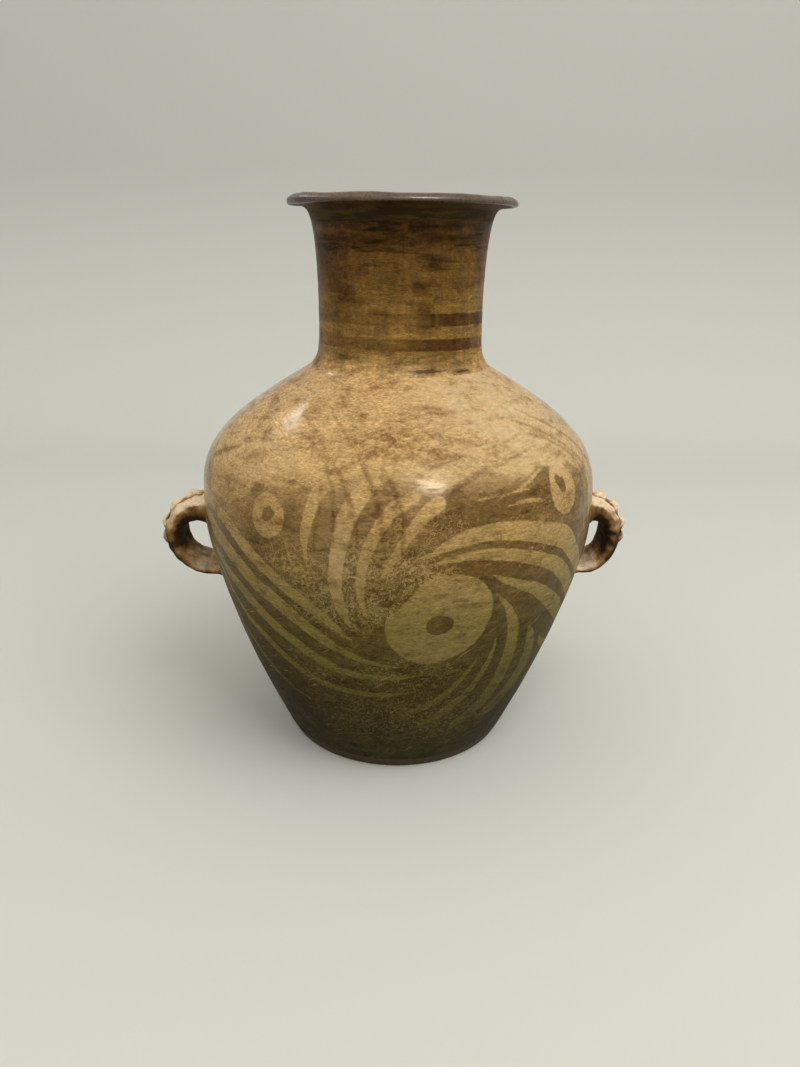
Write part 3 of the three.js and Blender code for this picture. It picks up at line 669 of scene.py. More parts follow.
def painted_earthenware():
    material, tree = new_material("painted_burnished_earthenware")
    place = add(tree, "ShaderNodeTexCoord").outputs["Object"]
    height = add(tree, "ShaderNodeSeparateXYZ", {0: place}).outputs["Z"]
    bare, wear, smear, haze_and_shade, slip_hold_and_shade, pale = [
        add(tree, "ShaderNodeAttribute", attribute_name=name).outputs["Fac"]
        for name in ("bare_clay_mm", "wear", "smear_mm", "haze_and_shade", "slip_hold_and_shade", "pale")]
    clay, mottle, grain = clay_body(tree, place, height)
    # painted light: paler clay where light falls, by the pale number stored on the points
    speckle = add(tree, "ShaderNodeMapRange", {0: grain, 1: 0.3, 2: 0.7, 3: 0.8, 4: 1.16}).outputs[0]
    light = add(tree, "ShaderNodeVectorMath", {0: PAINTED_LIGHT_CLAY[:3], 3: speckle}, operation="SCALE").outputs[0]
    painted_light_share = add(tree, "ShaderNodeMapRange", {0: mottle, 1: 0.62, 2: 0.42, 3: 0.35, 4: 1.0}).outputs[0]
    painted_light_share = add(tree, "ShaderNodeMath", {0: pale, 1: painted_light_share}, operation="MULTIPLY").outputs[0]
    clay = add(tree, "ShaderNodeMix", {0: painted_light_share, 6: clay, 7: light}, data_type="RGBA").outputs[2]

    # noises of the slip: streaks along the turning, patches of wear, flakes and fine squiggles
    squeezed = add(tree, "ShaderNodeVectorMath", {0: place, 1: (1.0, 1.0, 2.6)}, operation="MULTIPLY").outputs[0]
    streaks = add(tree, "ShaderNodeTexNoise", {"Vector": squeezed, "Scale": per_metre(13), "Detail": 6.0,
                                               "Roughness": 0.65}).outputs[0]
    patches = add(tree, "ShaderNodeTexNoise", {"Vector": place, "Scale": per_metre(20), "Detail": 4.0}).outputs[0]
    flakes = add(tree, "ShaderNodeTexNoise",
                 {"Vector": place, "Scale": per_metre(3.2), "Detail": 6.0, "Roughness": 0.75}).outputs[0]
    wriggle = add(tree, "ShaderNodeTexNoise", {"Vector": place, "Scale": per_metre(4.4), "Detail": 2.5,
                                               "Distortion": 0.6}).outputs[0]
    wriggle = add(tree, "ShaderNodeMath", {0: wriggle, 1: 0.5, 2: 0.022}, operation="COMPARE").outputs[0]

    # edge of the slip: ragged, crisp on the belly and soft higher up, where hands rubbed it
    ragged = add(tree, "ShaderNodeTexNoise", {"Vector": place, "Scale": per_metre(3.6), "Detail": 6.0,
                                              "Roughness": 0.62}).outputs[0]
    ragged = add(tree, "ShaderNodeMath", {0: ragged, 1: 2.4, 2: -1.2}, operation="MULTIPLY_ADD").outputs[0]
    edge = add(tree, "ShaderNodeMath", {0: bare, 1: ragged}, operation="ADD").outputs[0]
    crisp = add(tree, "ShaderNodeMapRange", {0: height, 1: 0.19, 2: 0.245, 3: 1.9, 4: 0.45}).outputs[0]
    edge = add(tree, "ShaderNodeMath", {0: edge, 1: crisp}, operation="MULTIPLY").outputs[0]
    under = add(tree, "ShaderNodeMapRange", {0: edge, 1: 1.0, 2: -1.0},
                interpolation_type="SMOOTHSTEP").outputs[0]

    # flaked where the slip was rubbed
    rubbed = add(tree, "ShaderNodeMath", {0: patches, 1: 0.24}, operation="MULTIPLY").outputs[0]
    rubbed = add(tree, "ShaderNodeMath", {0: wear, 1: 0.65, 2: rubbed}, operation="MULTIPLY_ADD").outputs[0]
    flaked = add(tree, "ShaderNodeMath", {0: flakes, 1: rubbed}, operation="ADD").outputs[0]
    flaked = add(tree, "ShaderNodeMapRange", {0: flaked, 1: 0.74, 2: 0.84, 4: 0.75}).outputs[0]
    line = add(tree, "ShaderNodeMath", {0: wear, 1: 3.6}, operation="MULTIPLY", use_clamp=True).outputs[0]
    line = add(tree, "ShaderNodeMath", {0: wriggle, 1: line}, operation="MULTIPLY").outputs[0]
    flaked = add(tree, "ShaderNodeMath", {0: flaked, 1: line}, operation="MAXIMUM").outputs[0]
    kept = add(tree, "ShaderNodeMath", {0: 1.0, 1: flaked}, operation="SUBTRACT").outputs[0]
    varied = add(tree, "ShaderNodeMapRange", {0: streaks, 1: 0.35, 2: 0.65, 3: 1.25, 4: 0.72}).outputs[0]
    laid = add(tree, "ShaderNodeMath", {0: slip_hold_and_shade, 1: varied}, operation="MULTIPLY").outputs[0]
    laid = add(tree, "ShaderNodeMath", {0: laid, 1: kept}, operation="MULTIPLY").outputs[0]
    laid = add(tree, "ShaderNodeMath", {0: laid, 1: under}, operation="MULTIPLY", use_clamp=True).outputs[0]
    tint = add(tree, "ShaderNodeMix", {0: patches, 6: SLIP_TINT, 7: THIN_SLIP_TINT}, data_type="RGBA").outputs[2]
    colour = add(tree, "ShaderNodeMix", {0: laid, 6: clay, 7: tint}, data_type="RGBA",
                 blend_type="MULTIPLY").outputs[2]

    # soft remnants of slip on the shoulder, broken by specks, and painted shade low on the belly through the haze
    left = add(tree, "ShaderNodeMath", {0: smear, 1: ragged}, operation="ADD").outputs[0]
    left = add(tree, "ShaderNodeMapRange", {0: left, 1: -1.3, 2: 1.3, 4: 0.85}).outputs[0]
    mist_and_shade = add(tree, "ShaderNodeMapRange", {0: streaks, 1: 0.36, 2: 0.56}).outputs[0]
    mist_and_shade = add(tree, "ShaderNodeMath", {0: mist_and_shade, 1: haze_and_shade}, operation="MULTIPLY").outputs[0]
    left = add(tree, "ShaderNodeMath", {0: left, 1: mist_and_shade}, operation="MAXIMUM").outputs[0]
    speckled = add(tree, "ShaderNodeMapRange", {0: flakes, 1: 0.6, 2: 0.46, 3: 0.3, 4: 1.1}).outputs[0]
    left = add(tree, "ShaderNodeMath", {0: left, 1: speckled}, operation="MULTIPLY", use_clamp=True).outputs[0]
    colour = add(tree, "ShaderNodeMix", {0: left, 6: colour, 7: SMEAR_AND_SHADE_TINT}, data_type="RGBA",
                 blend_type="MULTIPLY").outputs[2]

    # small dark pits everywhere, and pale slanting scratches in patches
    pits = add(tree, "ShaderNodeTexNoise", {"Vector": place, "Scale": per_metre(5), "Detail": 8.0,
                                            "Roughness": 0.78}).outputs[0]
    dark_pits = add(tree, "ShaderNodeMapRange", {0: pits, 1: 0.6, 2: 0.68, 4: 0.75}).outputs[0]
    colour = add(tree, "ShaderNodeMix", {0: dark_pits, 6: colour, 7: SMEAR_AND_SHADE_TINT}, data_type="RGBA",
                 blend_type="MULTIPLY").outputs[2]
    slanted = add(tree, "ShaderNodeVectorRotate", {"Vector": place, "Angle": math.radians(38)},
                  rotation_type="Y_AXIS").outputs[0]
    slanted = add(tree, "ShaderNodeVectorMath", {0: slanted, 1: (1.0, 1.0, 16.0)},
                  operation="MULTIPLY").outputs[0]
    scratches = add(tree, "ShaderNodeTexNoise", {"Vector": slanted, "Scale": per_metre(16),
                                                 "Detail": 3.0}).outputs[0]
    scratches = add(tree, "ShaderNodeMapRange", {0: scratches, 1: 0.64, 2: 0.7, 4: 0.38}).outputs[0]
    some = add(tree, "ShaderNodeMapRange", {0: patches, 1: 0.46, 2: 0.56}).outputs[0]
    scratches = add(tree, "ShaderNodeMath", {0: scratches, 1: some}, operation="MULTIPLY").outputs[0]
    colour = add(tree, "ShaderNodeMix", {0: scratches, 6: colour, 7: SCRATCH_LIGHT}, data_type="RGBA").outputs[2]

    # pale grit and squiggles, duller towards the foot
    grit = add(tree, "ShaderNodeMapRange", {0: flakes, 1: 0.635, 2: 0.72, 4: 0.6}).outputs[0]
    shown = add(tree, "ShaderNodeMath", {0: line, 1: 0.6}, operation="MULTIPLY").outputs[0]
    grit = add(tree, "ShaderNodeMath", {0: grit, 1: shown}, operation="MAXIMUM").outputs[0]
    light = add(tree, "ShaderNodeMapRange", {0: height, 1: 0.03, 2: 0.2}).outputs[0]
    light = add(tree, "ShaderNodeMix", {0: light, 6: LOW_SCRATCH_LIGHT, 7: SCRATCH_LIGHT},
                data_type="RGBA").outputs[2]
    colour = add(tree, "ShaderNodeMix", {0: grit, 6: colour, 7: light}, data_type="RGBA").outputs[2]

    # shine and relief: the upper part was burnished, the lower part hardly
    polish = add(tree, "ShaderNodeMapRange", {0: height, 1: 0.12, 2: 0.2, 3: 0.55, 4: 0.1}).outputs[0]
    polish = add(tree, "ShaderNodeMath", {0: streaks, 1: 0.09, 2: polish}, operation="MULTIPLY_ADD").outputs[0]
    rough = add(tree, "ShaderNodeMath", {0: flaked, 1: 0.2, 2: polish}, operation="MULTIPLY_ADD").outputs[0]
    relief = add(tree, "ShaderNodeMath", {0: flaked, 1: -0.4, 2: grain}, operation="MULTIPLY_ADD").outputs[0]
    bump = add(tree, "ShaderNodeBump", {"Height": relief, "Strength": 0.4, "Distance": 0.3 * MM}).outputs[0]
    waves = add(tree, "ShaderNodeBump", {"Height": streaks, "Strength": 0.35, "Distance": 0.8 * MM,
                                         "Normal": bump}).outputs[0]
    shader = add(tree, "ShaderNodeBsdfPrincipled", {"Base Color": colour, "Roughness": rough, "Normal": waves,
                                                    **BURNISHED})
    add(tree, "ShaderNodeOutputMaterial", {"Surface": shader.outputs[0]})
    return material


painted = painted_earthenware()

# %% [markdown]
# The lower wall and the shoulder are two rings of coils, joined at the belly. Each replaces the plain solid that
# holds its place and carries the painting on its points.

# %% Lower wall and shoulder
def paint_attributes(made, outer):
    put(made, "bare_clay_mm", bare_clay_depth(outer))
    put(made, "smear_mm", depth_of(outer, all_smears))
    put(made, "wear", spread_of(outer, WORN))
    put(made, "haze_and_shade", np.clip(spread_of(outer, HAZE_AND_LOW_SHADE), 0, 1))
    slip_hold_and_shade = np.interp(outer[:, 2], SLIP_HOLD_HEIGHTS, SLIP_HOLD) + spread_of(outer, SLIP_LEFT_AND_LOW_SHADE)
    put(made, "slip_hold_and_shade", np.clip(slip_hold_and_shade, 0, 1.3))
    # pale is painted light, where light falls on the clay
    put(made, "pale", np.clip(spread_of(outer, PAINTED_LIGHT_PLACES), 0, 1))


def dress(made, material, node):
    """Gives a piece its material and its place on the jar."""
    made.data.materials.append(material)
    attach(made, "root")
    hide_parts(node)


for name, node, low, high, inner_low in (
        ("painted_lower_wall", "lower_wall", BASE_THICKNESS, BELLY_JOINT, BASE_THICKNESS),
        ("painted_shoulder", "shoulder_wall", BELLY_JOINT, NECK_JOINT, BELLY_JOINT - SCARF_DROP)):
    wall, wall_points = ring_of_wall(name, low, high, inner_low)
    paint_attributes(wall, wall_points)
    dress(wall, painted, node)

# %% [markdown]
# The neck was washed with thin slip, brushed on round the top and left to thin out downwards, and then burnished
# upright. Two dark rings go round its lower half. The wash is a ramp over the height, pushed up and down by noise
# so that it ends in tongues rather than in a line.

# %% Washed neck
# The wash multiplies the clay: white is no wash, and it thickens towards the top.
WASH_BY_HEIGHT = [(0.00, "#FFFFFF"), (0.05, "#E2DCCC"), (0.10, "#D2CFBC"), (0.20, "#DAD6C4"), (0.30, "#DEDACA"),
                  (0.38, "#D0CDB6"), (0.48, "#CECBB4"), (0.62, "#B6AD94"), (0.70, "#B4AB92"), (0.76, "#B0A78E"),
                  (0.80, "#9C9074"), (0.85, "#776B50"), (0.89, "#968C72"), (0.925, "#6C6248"), (0.96, "#8C8266")]
RING_TINT = linear("#948472")
STAIN_TINT = linear("#8A7558")
LEFT_DIM = linear("#C0B090")


def washed_neck():
    material, tree = new_material("washed_burnished_earthenware")
    place = add(tree, "ShaderNodeTexCoord").outputs["Object"]
    height = add(tree, "ShaderNodeSeparateXYZ", {0: place}).outputs["Z"]
    ring, strength, stain, dim = [
        add(tree, "ShaderNodeAttribute", attribute_name=name).outputs["Fac"]
        for name in ("ring_mm", "ring_strength", "stain", "dim")]
    clay = clay_body(tree, place, height)[0]
    upright = add(tree, "ShaderNodeVectorMath", {0: place, 1: (1.0, 1.0, 0.1)}, operation="MULTIPLY").outputs[0]
    strokes = add(tree, "ShaderNodeTexNoise", {"Vector": upright, "Scale": per_metre(2.6), "Detail": 6.0,
                                               "Roughness": 0.62}).outputs[0]
    level = add(tree, "ShaderNodeVectorMath", {0: place, 1: (0.3, 0.3, 2.2)}, operation="MULTIPLY").outputs[0]
    combed = add(tree, "ShaderNodeTexNoise", {"Vector": level, "Scale": per_metre(10), "Detail": 7.0,
                                              "Roughness": 0.66, "Distortion": 0.4}).outputs[0]
    blots = add(tree, "ShaderNodeTexNoise", {"Vector": place, "Scale": per_metre(15), "Detail": 7.0,
                                             "Roughness": 0.66}).outputs[0]

    # the wash, pushed up and down by the noises, and smeared round under the rim
    pushed = add(tree, "ShaderNodeMath", {0: blots, 1: 0.014, 2: height}, operation="MULTIPLY_ADD").outputs[0]
    pushed = add(tree, "ShaderNodeMath", {0: combed, 1: 0.008, 2: pushed}, operation="MULTIPLY_ADD").outputs[0]
    up = add(tree, "ShaderNodeMapRange", {0: pushed, 1: 0.288, 2: 0.387}).outputs[0]
    wash = add(tree, "ShaderNodeValToRGB", {0: up}, stops=WASH_BY_HEIGHT).outputs[0]
    colour = add(tree, "ShaderNodeMix", {0: 1.0, 6: clay, 7: wash}, data_type="RGBA",
                 blend_type="MULTIPLY").outputs[2]
    high = add(tree, "ShaderNodeMapRange", {0: height, 1: 0.342, 2: 0.356}).outputs[0]
    smeared = add(tree, "ShaderNodeMapRange", {0: combed, 1: 0.5, 2: 0.4}).outputs[0]
    smeared = add(tree, "ShaderNodeMath", {0: smeared, 1: high}, operation="MULTIPLY").outputs[0]
    colour = add(tree, "ShaderNodeMix", {0: smeared, 6: colour, 7: STAIN_TINT}, data_type="RGBA",
                 blend_type="MULTIPLY").outputs[2]
    for noise, low, high, dark, light in ((strokes, 0.32, 0.68, 0.82, 1.18), (combed, 0.36, 0.64, 0.74, 1.26),
                                          (blots, 0.36, 0.62, 1.16, 0.8)):
        tone = add(tree, "ShaderNodeMapRange", {0: noise, 1: low, 2: high, 3: dark, 4: light}).outputs[0]
        colour = add(tree, "ShaderNodeVectorMath", {0: colour, 3: tone}, operation="SCALE").outputs[0]
    stained = add(tree, "ShaderNodeMapRange", {0: blots, 1: 0.35, 2: 0.6, 3: 0.35}).outputs[0]
    stained = add(tree, "ShaderNodeMath", {0: stain, 1: stained}, operation="MULTIPLY", use_clamp=True).outputs[0]
    colour = add(tree, "ShaderNodeMix", {0: stained, 6: colour, 7: STAIN_TINT}, data_type="RGBA",
                 blend_type="MULTIPLY").outputs[2]
    # painted shade on the left side of the neck
    colour = add(tree, "ShaderNodeMix", {0: dim, 6: colour, 7: LEFT_DIM}, data_type="RGBA",
                 blend_type="MULTIPLY").outputs[2]

    # the two painted rings
    ragged = add(tree, "ShaderNodeTexNoise", {"Vector": level, "Scale": per_metre(3), "Detail": 5.0}).outputs[0]
    ragged = add(tree, "ShaderNodeMath", {0: ragged, 1: 2.4, 2: -1.2}, operation="MULTIPLY_ADD").outputs[0]
    edge = add(tree, "ShaderNodeMath", {0: ring, 1: ragged}, operation="ADD").outputs[0]
    edge = add(tree, "ShaderNodeMapRange", {0: edge, 1: -0.6, 2: 0.7}, interpolation_type="SMOOTHSTEP").outputs[0]
    thin = add(tree, "ShaderNodeMapRange", {0: blots, 1: 0.64, 2: 0.46, 3: 0.65, 4: 1.0}).outputs[0]
    edge = add(tree, "ShaderNodeMath", {0: edge, 1: thin}, operation="MULTIPLY").outputs[0]
    edge = add(tree, "ShaderNodeMath", {0: edge, 1: strength}, operation="MULTIPLY").outputs[0]
    colour = add(tree, "ShaderNodeMix", {0: edge, 6: colour, 7: RING_TINT}, data_type="RGBA",
                 blend_type="MULTIPLY").outputs[2]

    rough = add(tree, "ShaderNodeMapRange", {0: strokes, 1: 0.3, 2: 0.7, 3: 0.34, 4: 0.5}).outputs[0]
    scraped = add(tree, "ShaderNodeBump", {"Height": combed, "Strength": 0.4, "Distance": 0.8 * MM}).outputs[0]
    bump = add(tree, "ShaderNodeBump", {"Height": strokes, "Strength": 0.3, "Distance": 0.5 * MM,
                                        "Normal": scraped}).outputs[0]
    shader = add(tree, "ShaderNodeBsdfPrincipled", {"Base Color": colour, "Roughness": rough, "Normal": bump,
                                                    **BURNISHED})
    add(tree, "ShaderNodeOutputMaterial", {"Surface": shader.outputs[0]})
    return material


STAINS = [
    (4, 366, 16, 2.4, 0.9), (30, 361, 16, 3, 0.5), (0, 342, 9, 5, 0.5), (12, 329, 5, 6, 1.6),
    (15, 321, 7, 6, 1.6), (62, 350, 5, 12, 0.8), (17, 281, 9, 2.5, 0.6), (48, 279, 14, 2, 0.4),
    (-38, 330, 12, 14, 0.8), (-60, 352, 20, 14, 0.5), (28, 326, 14, 5, 0.6), (22, 345, 10, 5, 0.7),
    (120, 330, 20, 16, 0.7), (200, 340, 24, 18, 0.8),
]
# Where nails or grit scratched the upper ring, in degrees.
RING_SCUFFS = (24, 53)
BETWEEN_RINGS = 305

neck, neck_points = ring_of_wall("washed_neck", NECK_JOINT, RIM_JOINT, NECK_JOINT - SCARF_DROP)
neck_turn, neck_height = turn_of(neck_points), neck_points[:, 2]
put(neck, "ring_mm", depth_of(neck_points, NECK_RINGS))
# The rings are strong on the right and fade out behind, and the lower one has a worn stretch.
behind = np.clip((150 - neck_turn) / 30, 0, 1)
strong_above = np.clip((neck_turn - 17) / 4, 0, 1) * behind
strong_below = np.clip((neck_turn + 6) / 26, 0, 1) * np.clip((56 - neck_turn) / 4, 0.25, 1) * behind
scuffs = sum(0.6 * np.exp(-(((neck_turn - at) / 1.2) ** 2)) for at in RING_SCUFFS)
strong_above *= 1 - np.clip(scuffs, 0, 1)
put(neck, "ring_strength",
    np.where(neck_height > BETWEEN_RINGS, 0.36 + 0.74 * strong_above, 0.5 + 0.78 * strong_below))
cracks = np.clip(depth_of(neck_points, NECK_CRACKS) / 0.5 + 0.6, 0, 2)
put(neck, "stain", np.clip(spread_of(neck_points, STAINS), 0, 1) + cracks)
# Painted shade: the left side of the neck is a little darker, between the rings and the rim.
dim = np.clip((-neck_turn - 35) / 40, 0, 1) * np.clip((neck_turn + 165) / 45, 0, 1)
put(neck, "dim", dim * np.clip((neck_height - 300) / 30, 0, 1) * np.clip((360 - neck_height) / 12, 0, 1))
dress(neck, washed_neck(), "neck")

# %% [markdown]
# The rim is an extra coil turned outwards and rolled at the edge. Its dark slip is burnished to a warm grey-brown
# sheen on top, and the fold under the lip is darkened as painted shade. A flake has broken off its left-hand tip,
# which shows the clay. Below the lip the profile is the solid model's, the lip itself droops a little as the
# photographed one does, and the flake is cut from the points of its tip.

# %% Rim
RIM_STEP = 0.7
TURN_OUT = 4.5
# The flake's place round the jar and its half width, in degrees, and its depth.
FLAKE_TURN, FLAKE_HALF, FLAKE_DEPTH = -83, 9, 2.4
# The lip, from the fold under it round the tip to its top, as radius and height.
LIP_PROFILE = [(72.0, 380.6), (74.3, 380.2), (75.9, 380.8), (RIM_RADIUS, 381.9), (75.9, 383.2), (74.5, 384.5),
               (72.4, 385.6), (70.0, LIP_HEIGHT)]


def quadratic(start, middle, end, steps=30):
    t = np.linspace(0, 1, steps + 1)[:, None]
    return (1 - t) ** 2 * np.array(start) + 2 * (1 - t) * t * np.array(middle) + t**2 * np.array(end)


lip = soft_curve(LIP_PROFILE)
flare = np.array([math.sin(math.radians(33)), math.cos(math.radians(33))])
underside = quadratic(NECK_TOP, np.array(NECK_TOP) + TURN_OUT * flare, lip[0])
inner_top = inside[-1]
mouth = quadratic(lip[-1], inner_top + (TURN_OUT + 2) * flare, inner_top)
rim_foot = stretch(outside, RIM_JOINT, NECK_TOP[1])
rim_line = even_steps(np.vstack([rim_foot, underside[1:], lip[1:], mouth[1:]]), RIM_STEP)
rim_inner = even_steps(stretch(inside, RIM_JOINT - SCARF_DROP, inner_top[1])[:-1], 2.0)


def rim_unevenness(turn, height):
    """The neck's unevenness carried up, with a slow waver of its own on the lip."""
    on_lip = np.clip((height - 380) / 2, 0, 1)
    return wall_unevenness(turn, height) + 0.06 * hand_waves(turn, height, 32, 15, 60, 20) * on_lip


def radius_of(points):
    return np.hypot(points[:, 0], points[:, 1])


def flake_share(points):
    """1 in the middle of the flake and 0 away from it."""
    return np.exp(-(((turn_of(points) - FLAKE_TURN) / FLAKE_HALF) ** 2) ** 2)


def knock_off_flake(points):
    """Cuts the lip's tip back to a ragged face where the flake has gone."""
    turn = np.arctan2(points[:, 0], -points[:, 1])
    ragged = 1 + 0.25 * hand_waves(turn, points[:, 2], 31, 3, 9, 20)
    face = RIM_RADIUS + 1 - (FLAKE_DEPTH + 1) * flake_share(points) * ragged
    shrink = np.minimum(1, face / radius_of(points))
    return points * np.stack([shrink, shrink, np.ones(len(points))], 1)


rim_outer_points = knock_off_flake(turned_points(rim_line, rim_unevenness))
rim_points = np.vstack([rim_outer_points, turned_points(rim_inner[::-1], inner_unevenness)])
rim = add_object("rolled_rim", rim_points, grid_faces(len(rim_points) // COLUMNS, COLUMNS, True))
fold_row = int(np.argmin(np.linalg.norm(rim_line - lip[0], axis=1)))
rows_from_fold = np.arange(len(rim_line)) - fold_row
# Painted shade: darkest in the fold under the lip, fading down the underside and up the lip's lower half.
rim_fold_shade = np.where(rows_from_fold < 0, 1 + rows_from_fold / 3, 1.25 - rows_from_fold / 6)
near_tip = np.clip((radius_of(rim_outer_points) - 72) / 1.5, 0, 1) * (rim_outer_points[:, 2] > 380.4)
put(rim, "fold", np.repeat(np.clip(rim_fold_shade, 0, 1), COLUMNS))
put(rim, "on_lip", np.repeat(np.clip(rows_from_fold / 2, 0, 1), COLUMNS))
put(rim, "flake", flake_share(rim_outer_points) * near_tip)
print("rim", len(rim.data.polygons), "faces")

# %% [markdown]
# The rim's slip is mauve-brown where it was burnished and paler where hands rubbed it. Three numbers stored on the
# points steer the colour: how deep a point lies in the fold, where it is darkened as painted shade, whether it is on
# the lip, and whether it is in the flake.

# %% Burnished rim slip
RIM_SLIP = linear("#4C3A30")
RIM_WORN = linear("#6E5A48")
RIM_FOLD_SHADE = linear("#2A1A0E")
RIM_WASH = linear("#54421E")
RIM_STREAK = linear("#33260F")
FLAKE_CLAY = linear("#3E3018")
RIM_SHINE = 0.38


def burnished_rim_slip():
    material, tree = new_material("burnished_rim_slip")
    place = add(tree, "ShaderNodeTexCoord").outputs["Object"]
    fold, on_lip, flake = [add(tree, "ShaderNodeAttribute", attribute_name=name).outputs["Fac"]
                           for name in ("fold", "on_lip", "flake")]
    level = add(tree, "ShaderNodeVectorMath", {0: place, 1: (0.3, 0.3, 2.2)}, operation="MULTIPLY").outputs[0]
    combed = add(tree, "ShaderNodeTexNoise", {"Vector": level, "Scale": per_metre(8), "Detail": 7.0,
                                              "Roughness": 0.66}).outputs[0]
    specks = add(tree, "ShaderNodeTexNoise", {"Vector": place, "Scale": per_metre(1.6), "Detail": 4.0}).outputs[0]
    worn = add(tree, "ShaderNodeMapRange", {0: combed, 1: 0.36, 2: 0.66}).outputs[0]
    slip = add(tree, "ShaderNodeMix", {0: worn, 6: RIM_SLIP, 7: RIM_WORN}, data_type="RGBA").outputs[2]
    streaked = add(tree, "ShaderNodeMapRange", {0: combed, 1: 0.44, 2: 0.56}).outputs[0]
    wash = add(tree, "ShaderNodeMix", {0: streaked, 6: RIM_WASH, 7: RIM_STREAK}, data_type="RGBA").outputs[2]
    colour = add(tree, "ShaderNodeMix", {0: on_lip, 6: wash, 7: slip}, data_type="RGBA").outputs[2]
    colour = add(tree, "ShaderNodeMix", {0: fold, 6: colour, 7: RIM_FOLD_SHADE}, data_type="RGBA").outputs[2]
    broken = add(tree, "ShaderNodeMath", {0: flake, 1: specks}, operation="ADD").outputs[0]
    broken = add(tree, "ShaderNodeMapRange", {0: broken, 1: 0.85, 2: 1.05}).outputs[0]
    colour = add(tree, "ShaderNodeMix", {0: broken, 6: colour, 7: FLAKE_CLAY}, data_type="RGBA").outputs[2]
    tone = add(tree, "ShaderNodeMapRange", {0: specks, 1: 0.3, 2: 0.7, 3: 0.82, 4: 1.18}).outputs[0]
    colour = add(tree, "ShaderNodeVectorMath", {0: colour, 3: tone}, operation="SCALE").outputs[0]
    rough = add(tree, "ShaderNodeMapRange", {0: specks, 1: 0.3, 2: 0.7, 3: 0.24, 4: 0.36}).outputs[0]
    rough = add(tree, "ShaderNodeMath", {0: broken, 1: 0.35, 2: rough}, operation="MULTIPLY_ADD").outputs[0]
    dull = add(tree, "ShaderNodeMapRange", {0: on_lip, 3: 0.3, 4: 0.0}).outputs[0]
    rough = add(tree, "ShaderNodeMath", {0: rough, 1: dull}, operation="ADD").outputs[0]
    shine = add(tree, "ShaderNodeMapRange", {0: on_lip, 3: SOFT_SHINE, 4: RIM_SHINE}).outputs[0]
    bump = add(tree, "ShaderNodeBump", {"Height": specks, "Strength": 0.3, "Distance": 0.4 * MM}).outputs[0]
    shader = add(tree, "ShaderNodeBsdfPrincipled", {"Base Color": colour, "Roughness": rough, "Normal": bump,
                                                    "IOR": CLAY_IOR, "Specular IOR Level": shine})
    add(tree, "ShaderNodeOutputMaterial", {"Surface": shader.outputs[0]})
    return material


dress(rim, burnished_rim_slip(), "rim")

# %% [markdown]
# The base is a disc of clay scraped flat. It hardly shows, but the jar can be tipped over, so it gets the scraped,
# unslipped finish of the underside: coarse, speckled with pale grit and without shine.

# %% Base
BASE_RINGS = 26


def base_profile():
    under = np.stack([np.linspace(0.5, FOOT[0] - 1.5, BASE_RINGS), np.zeros(BASE_RINGS)], 1)
    edge = np.array([[FOOT[0] - 1.0, 0.15], [FOOT[0] - 0.3, 0.7], [FOOT[0], FOOT[1]]])
    side = even_steps(stretch(outside, FOOT[1], BASE_THICKNESS), 1.5)[1:]
    top = np.stack([np.linspace(side[-1, 0] - 3, 0.5, BASE_RINGS), np.full(BASE_RINGS, BASE_THICKNESS)], 1)
    return np.vstack([under, edge, side, top])


base_line = base_profile()
base_points = turned_points(base_line)
base_faces = grid_faces(len(base_line), COLUMNS, False)
under_centre, top_centre = len(base_points), len(base_points) + 1
last_ring = (len(base_line) - 1) * COLUMNS
for i in range(COLUMNS):
    after = (i + 1) % COLUMNS
    base_faces.append((under_centre, after, i))
    base_faces.append((top_centre, last_ring + i, last_ring + after))
base = add_object("scraped_base", np.vstack([base_points, [(0, 0, 0), (0, 0, BASE_THICKNESS)]]), base_faces)


def scraped_clay():
    material, tree = new_material("scraped_unslipped_clay")
    place = add(tree, "ShaderNodeTexCoord").outputs["Object"]
    clouds = add(tree, "ShaderNodeTexNoise", {"Vector": place, "Scale": per_metre(20), "Detail": 5.0}).outputs[0]
    grit = add(tree, "ShaderNodeTexNoise", {"Vector": place, "Scale": per_metre(1.4), "Detail": 4.0}).outputs[0]
    # The clay is kept dark, as painted shade where the foot meets the floor.
    colour = add(tree, "ShaderNodeMix", {0: clouds, 6: linear("#352B14"), 7: linear("#4C3F20")},
                 data_type="RGBA").outputs[2]
    pale = add(tree, "ShaderNodeMapRange", {0: grit, 1: 0.55, 2: 0.75}).outputs[0]
    colour = add(tree, "ShaderNodeMix", {0: pale, 6: colour, 7: linear("#6A5A34")}, data_type="RGBA").outputs[2]
    bump = add(tree, "ShaderNodeBump", {"Height": grit, "Strength": 0.5, "Distance": 0.5 * MM}).outputs[0]
    shader = add(tree, "ShaderNodeBsdfPrincipled", {"Base Color": colour, "Roughness": 0.8, "Normal": bump,
                                                    "IOR": CLAY_IOR})
    add(tree, "ShaderNodeOutputMaterial", {"Surface": shader.outputs[0]})
    return material


dress(base, scraped_clay(), "base_disc")

# %% [markdown]
# A strap handle is a flat ribbon of clay bent into a loop, pressed on to the wall at both ends and smeared down so
# that it grows out of the belly. Each line along the strap is followed from its middle to the wall and spread
# sideways over the last few millimetres, which makes the smeared fillet. A pinched strip runs down its back, with
# a row of teeth that the potter's fingertips left.

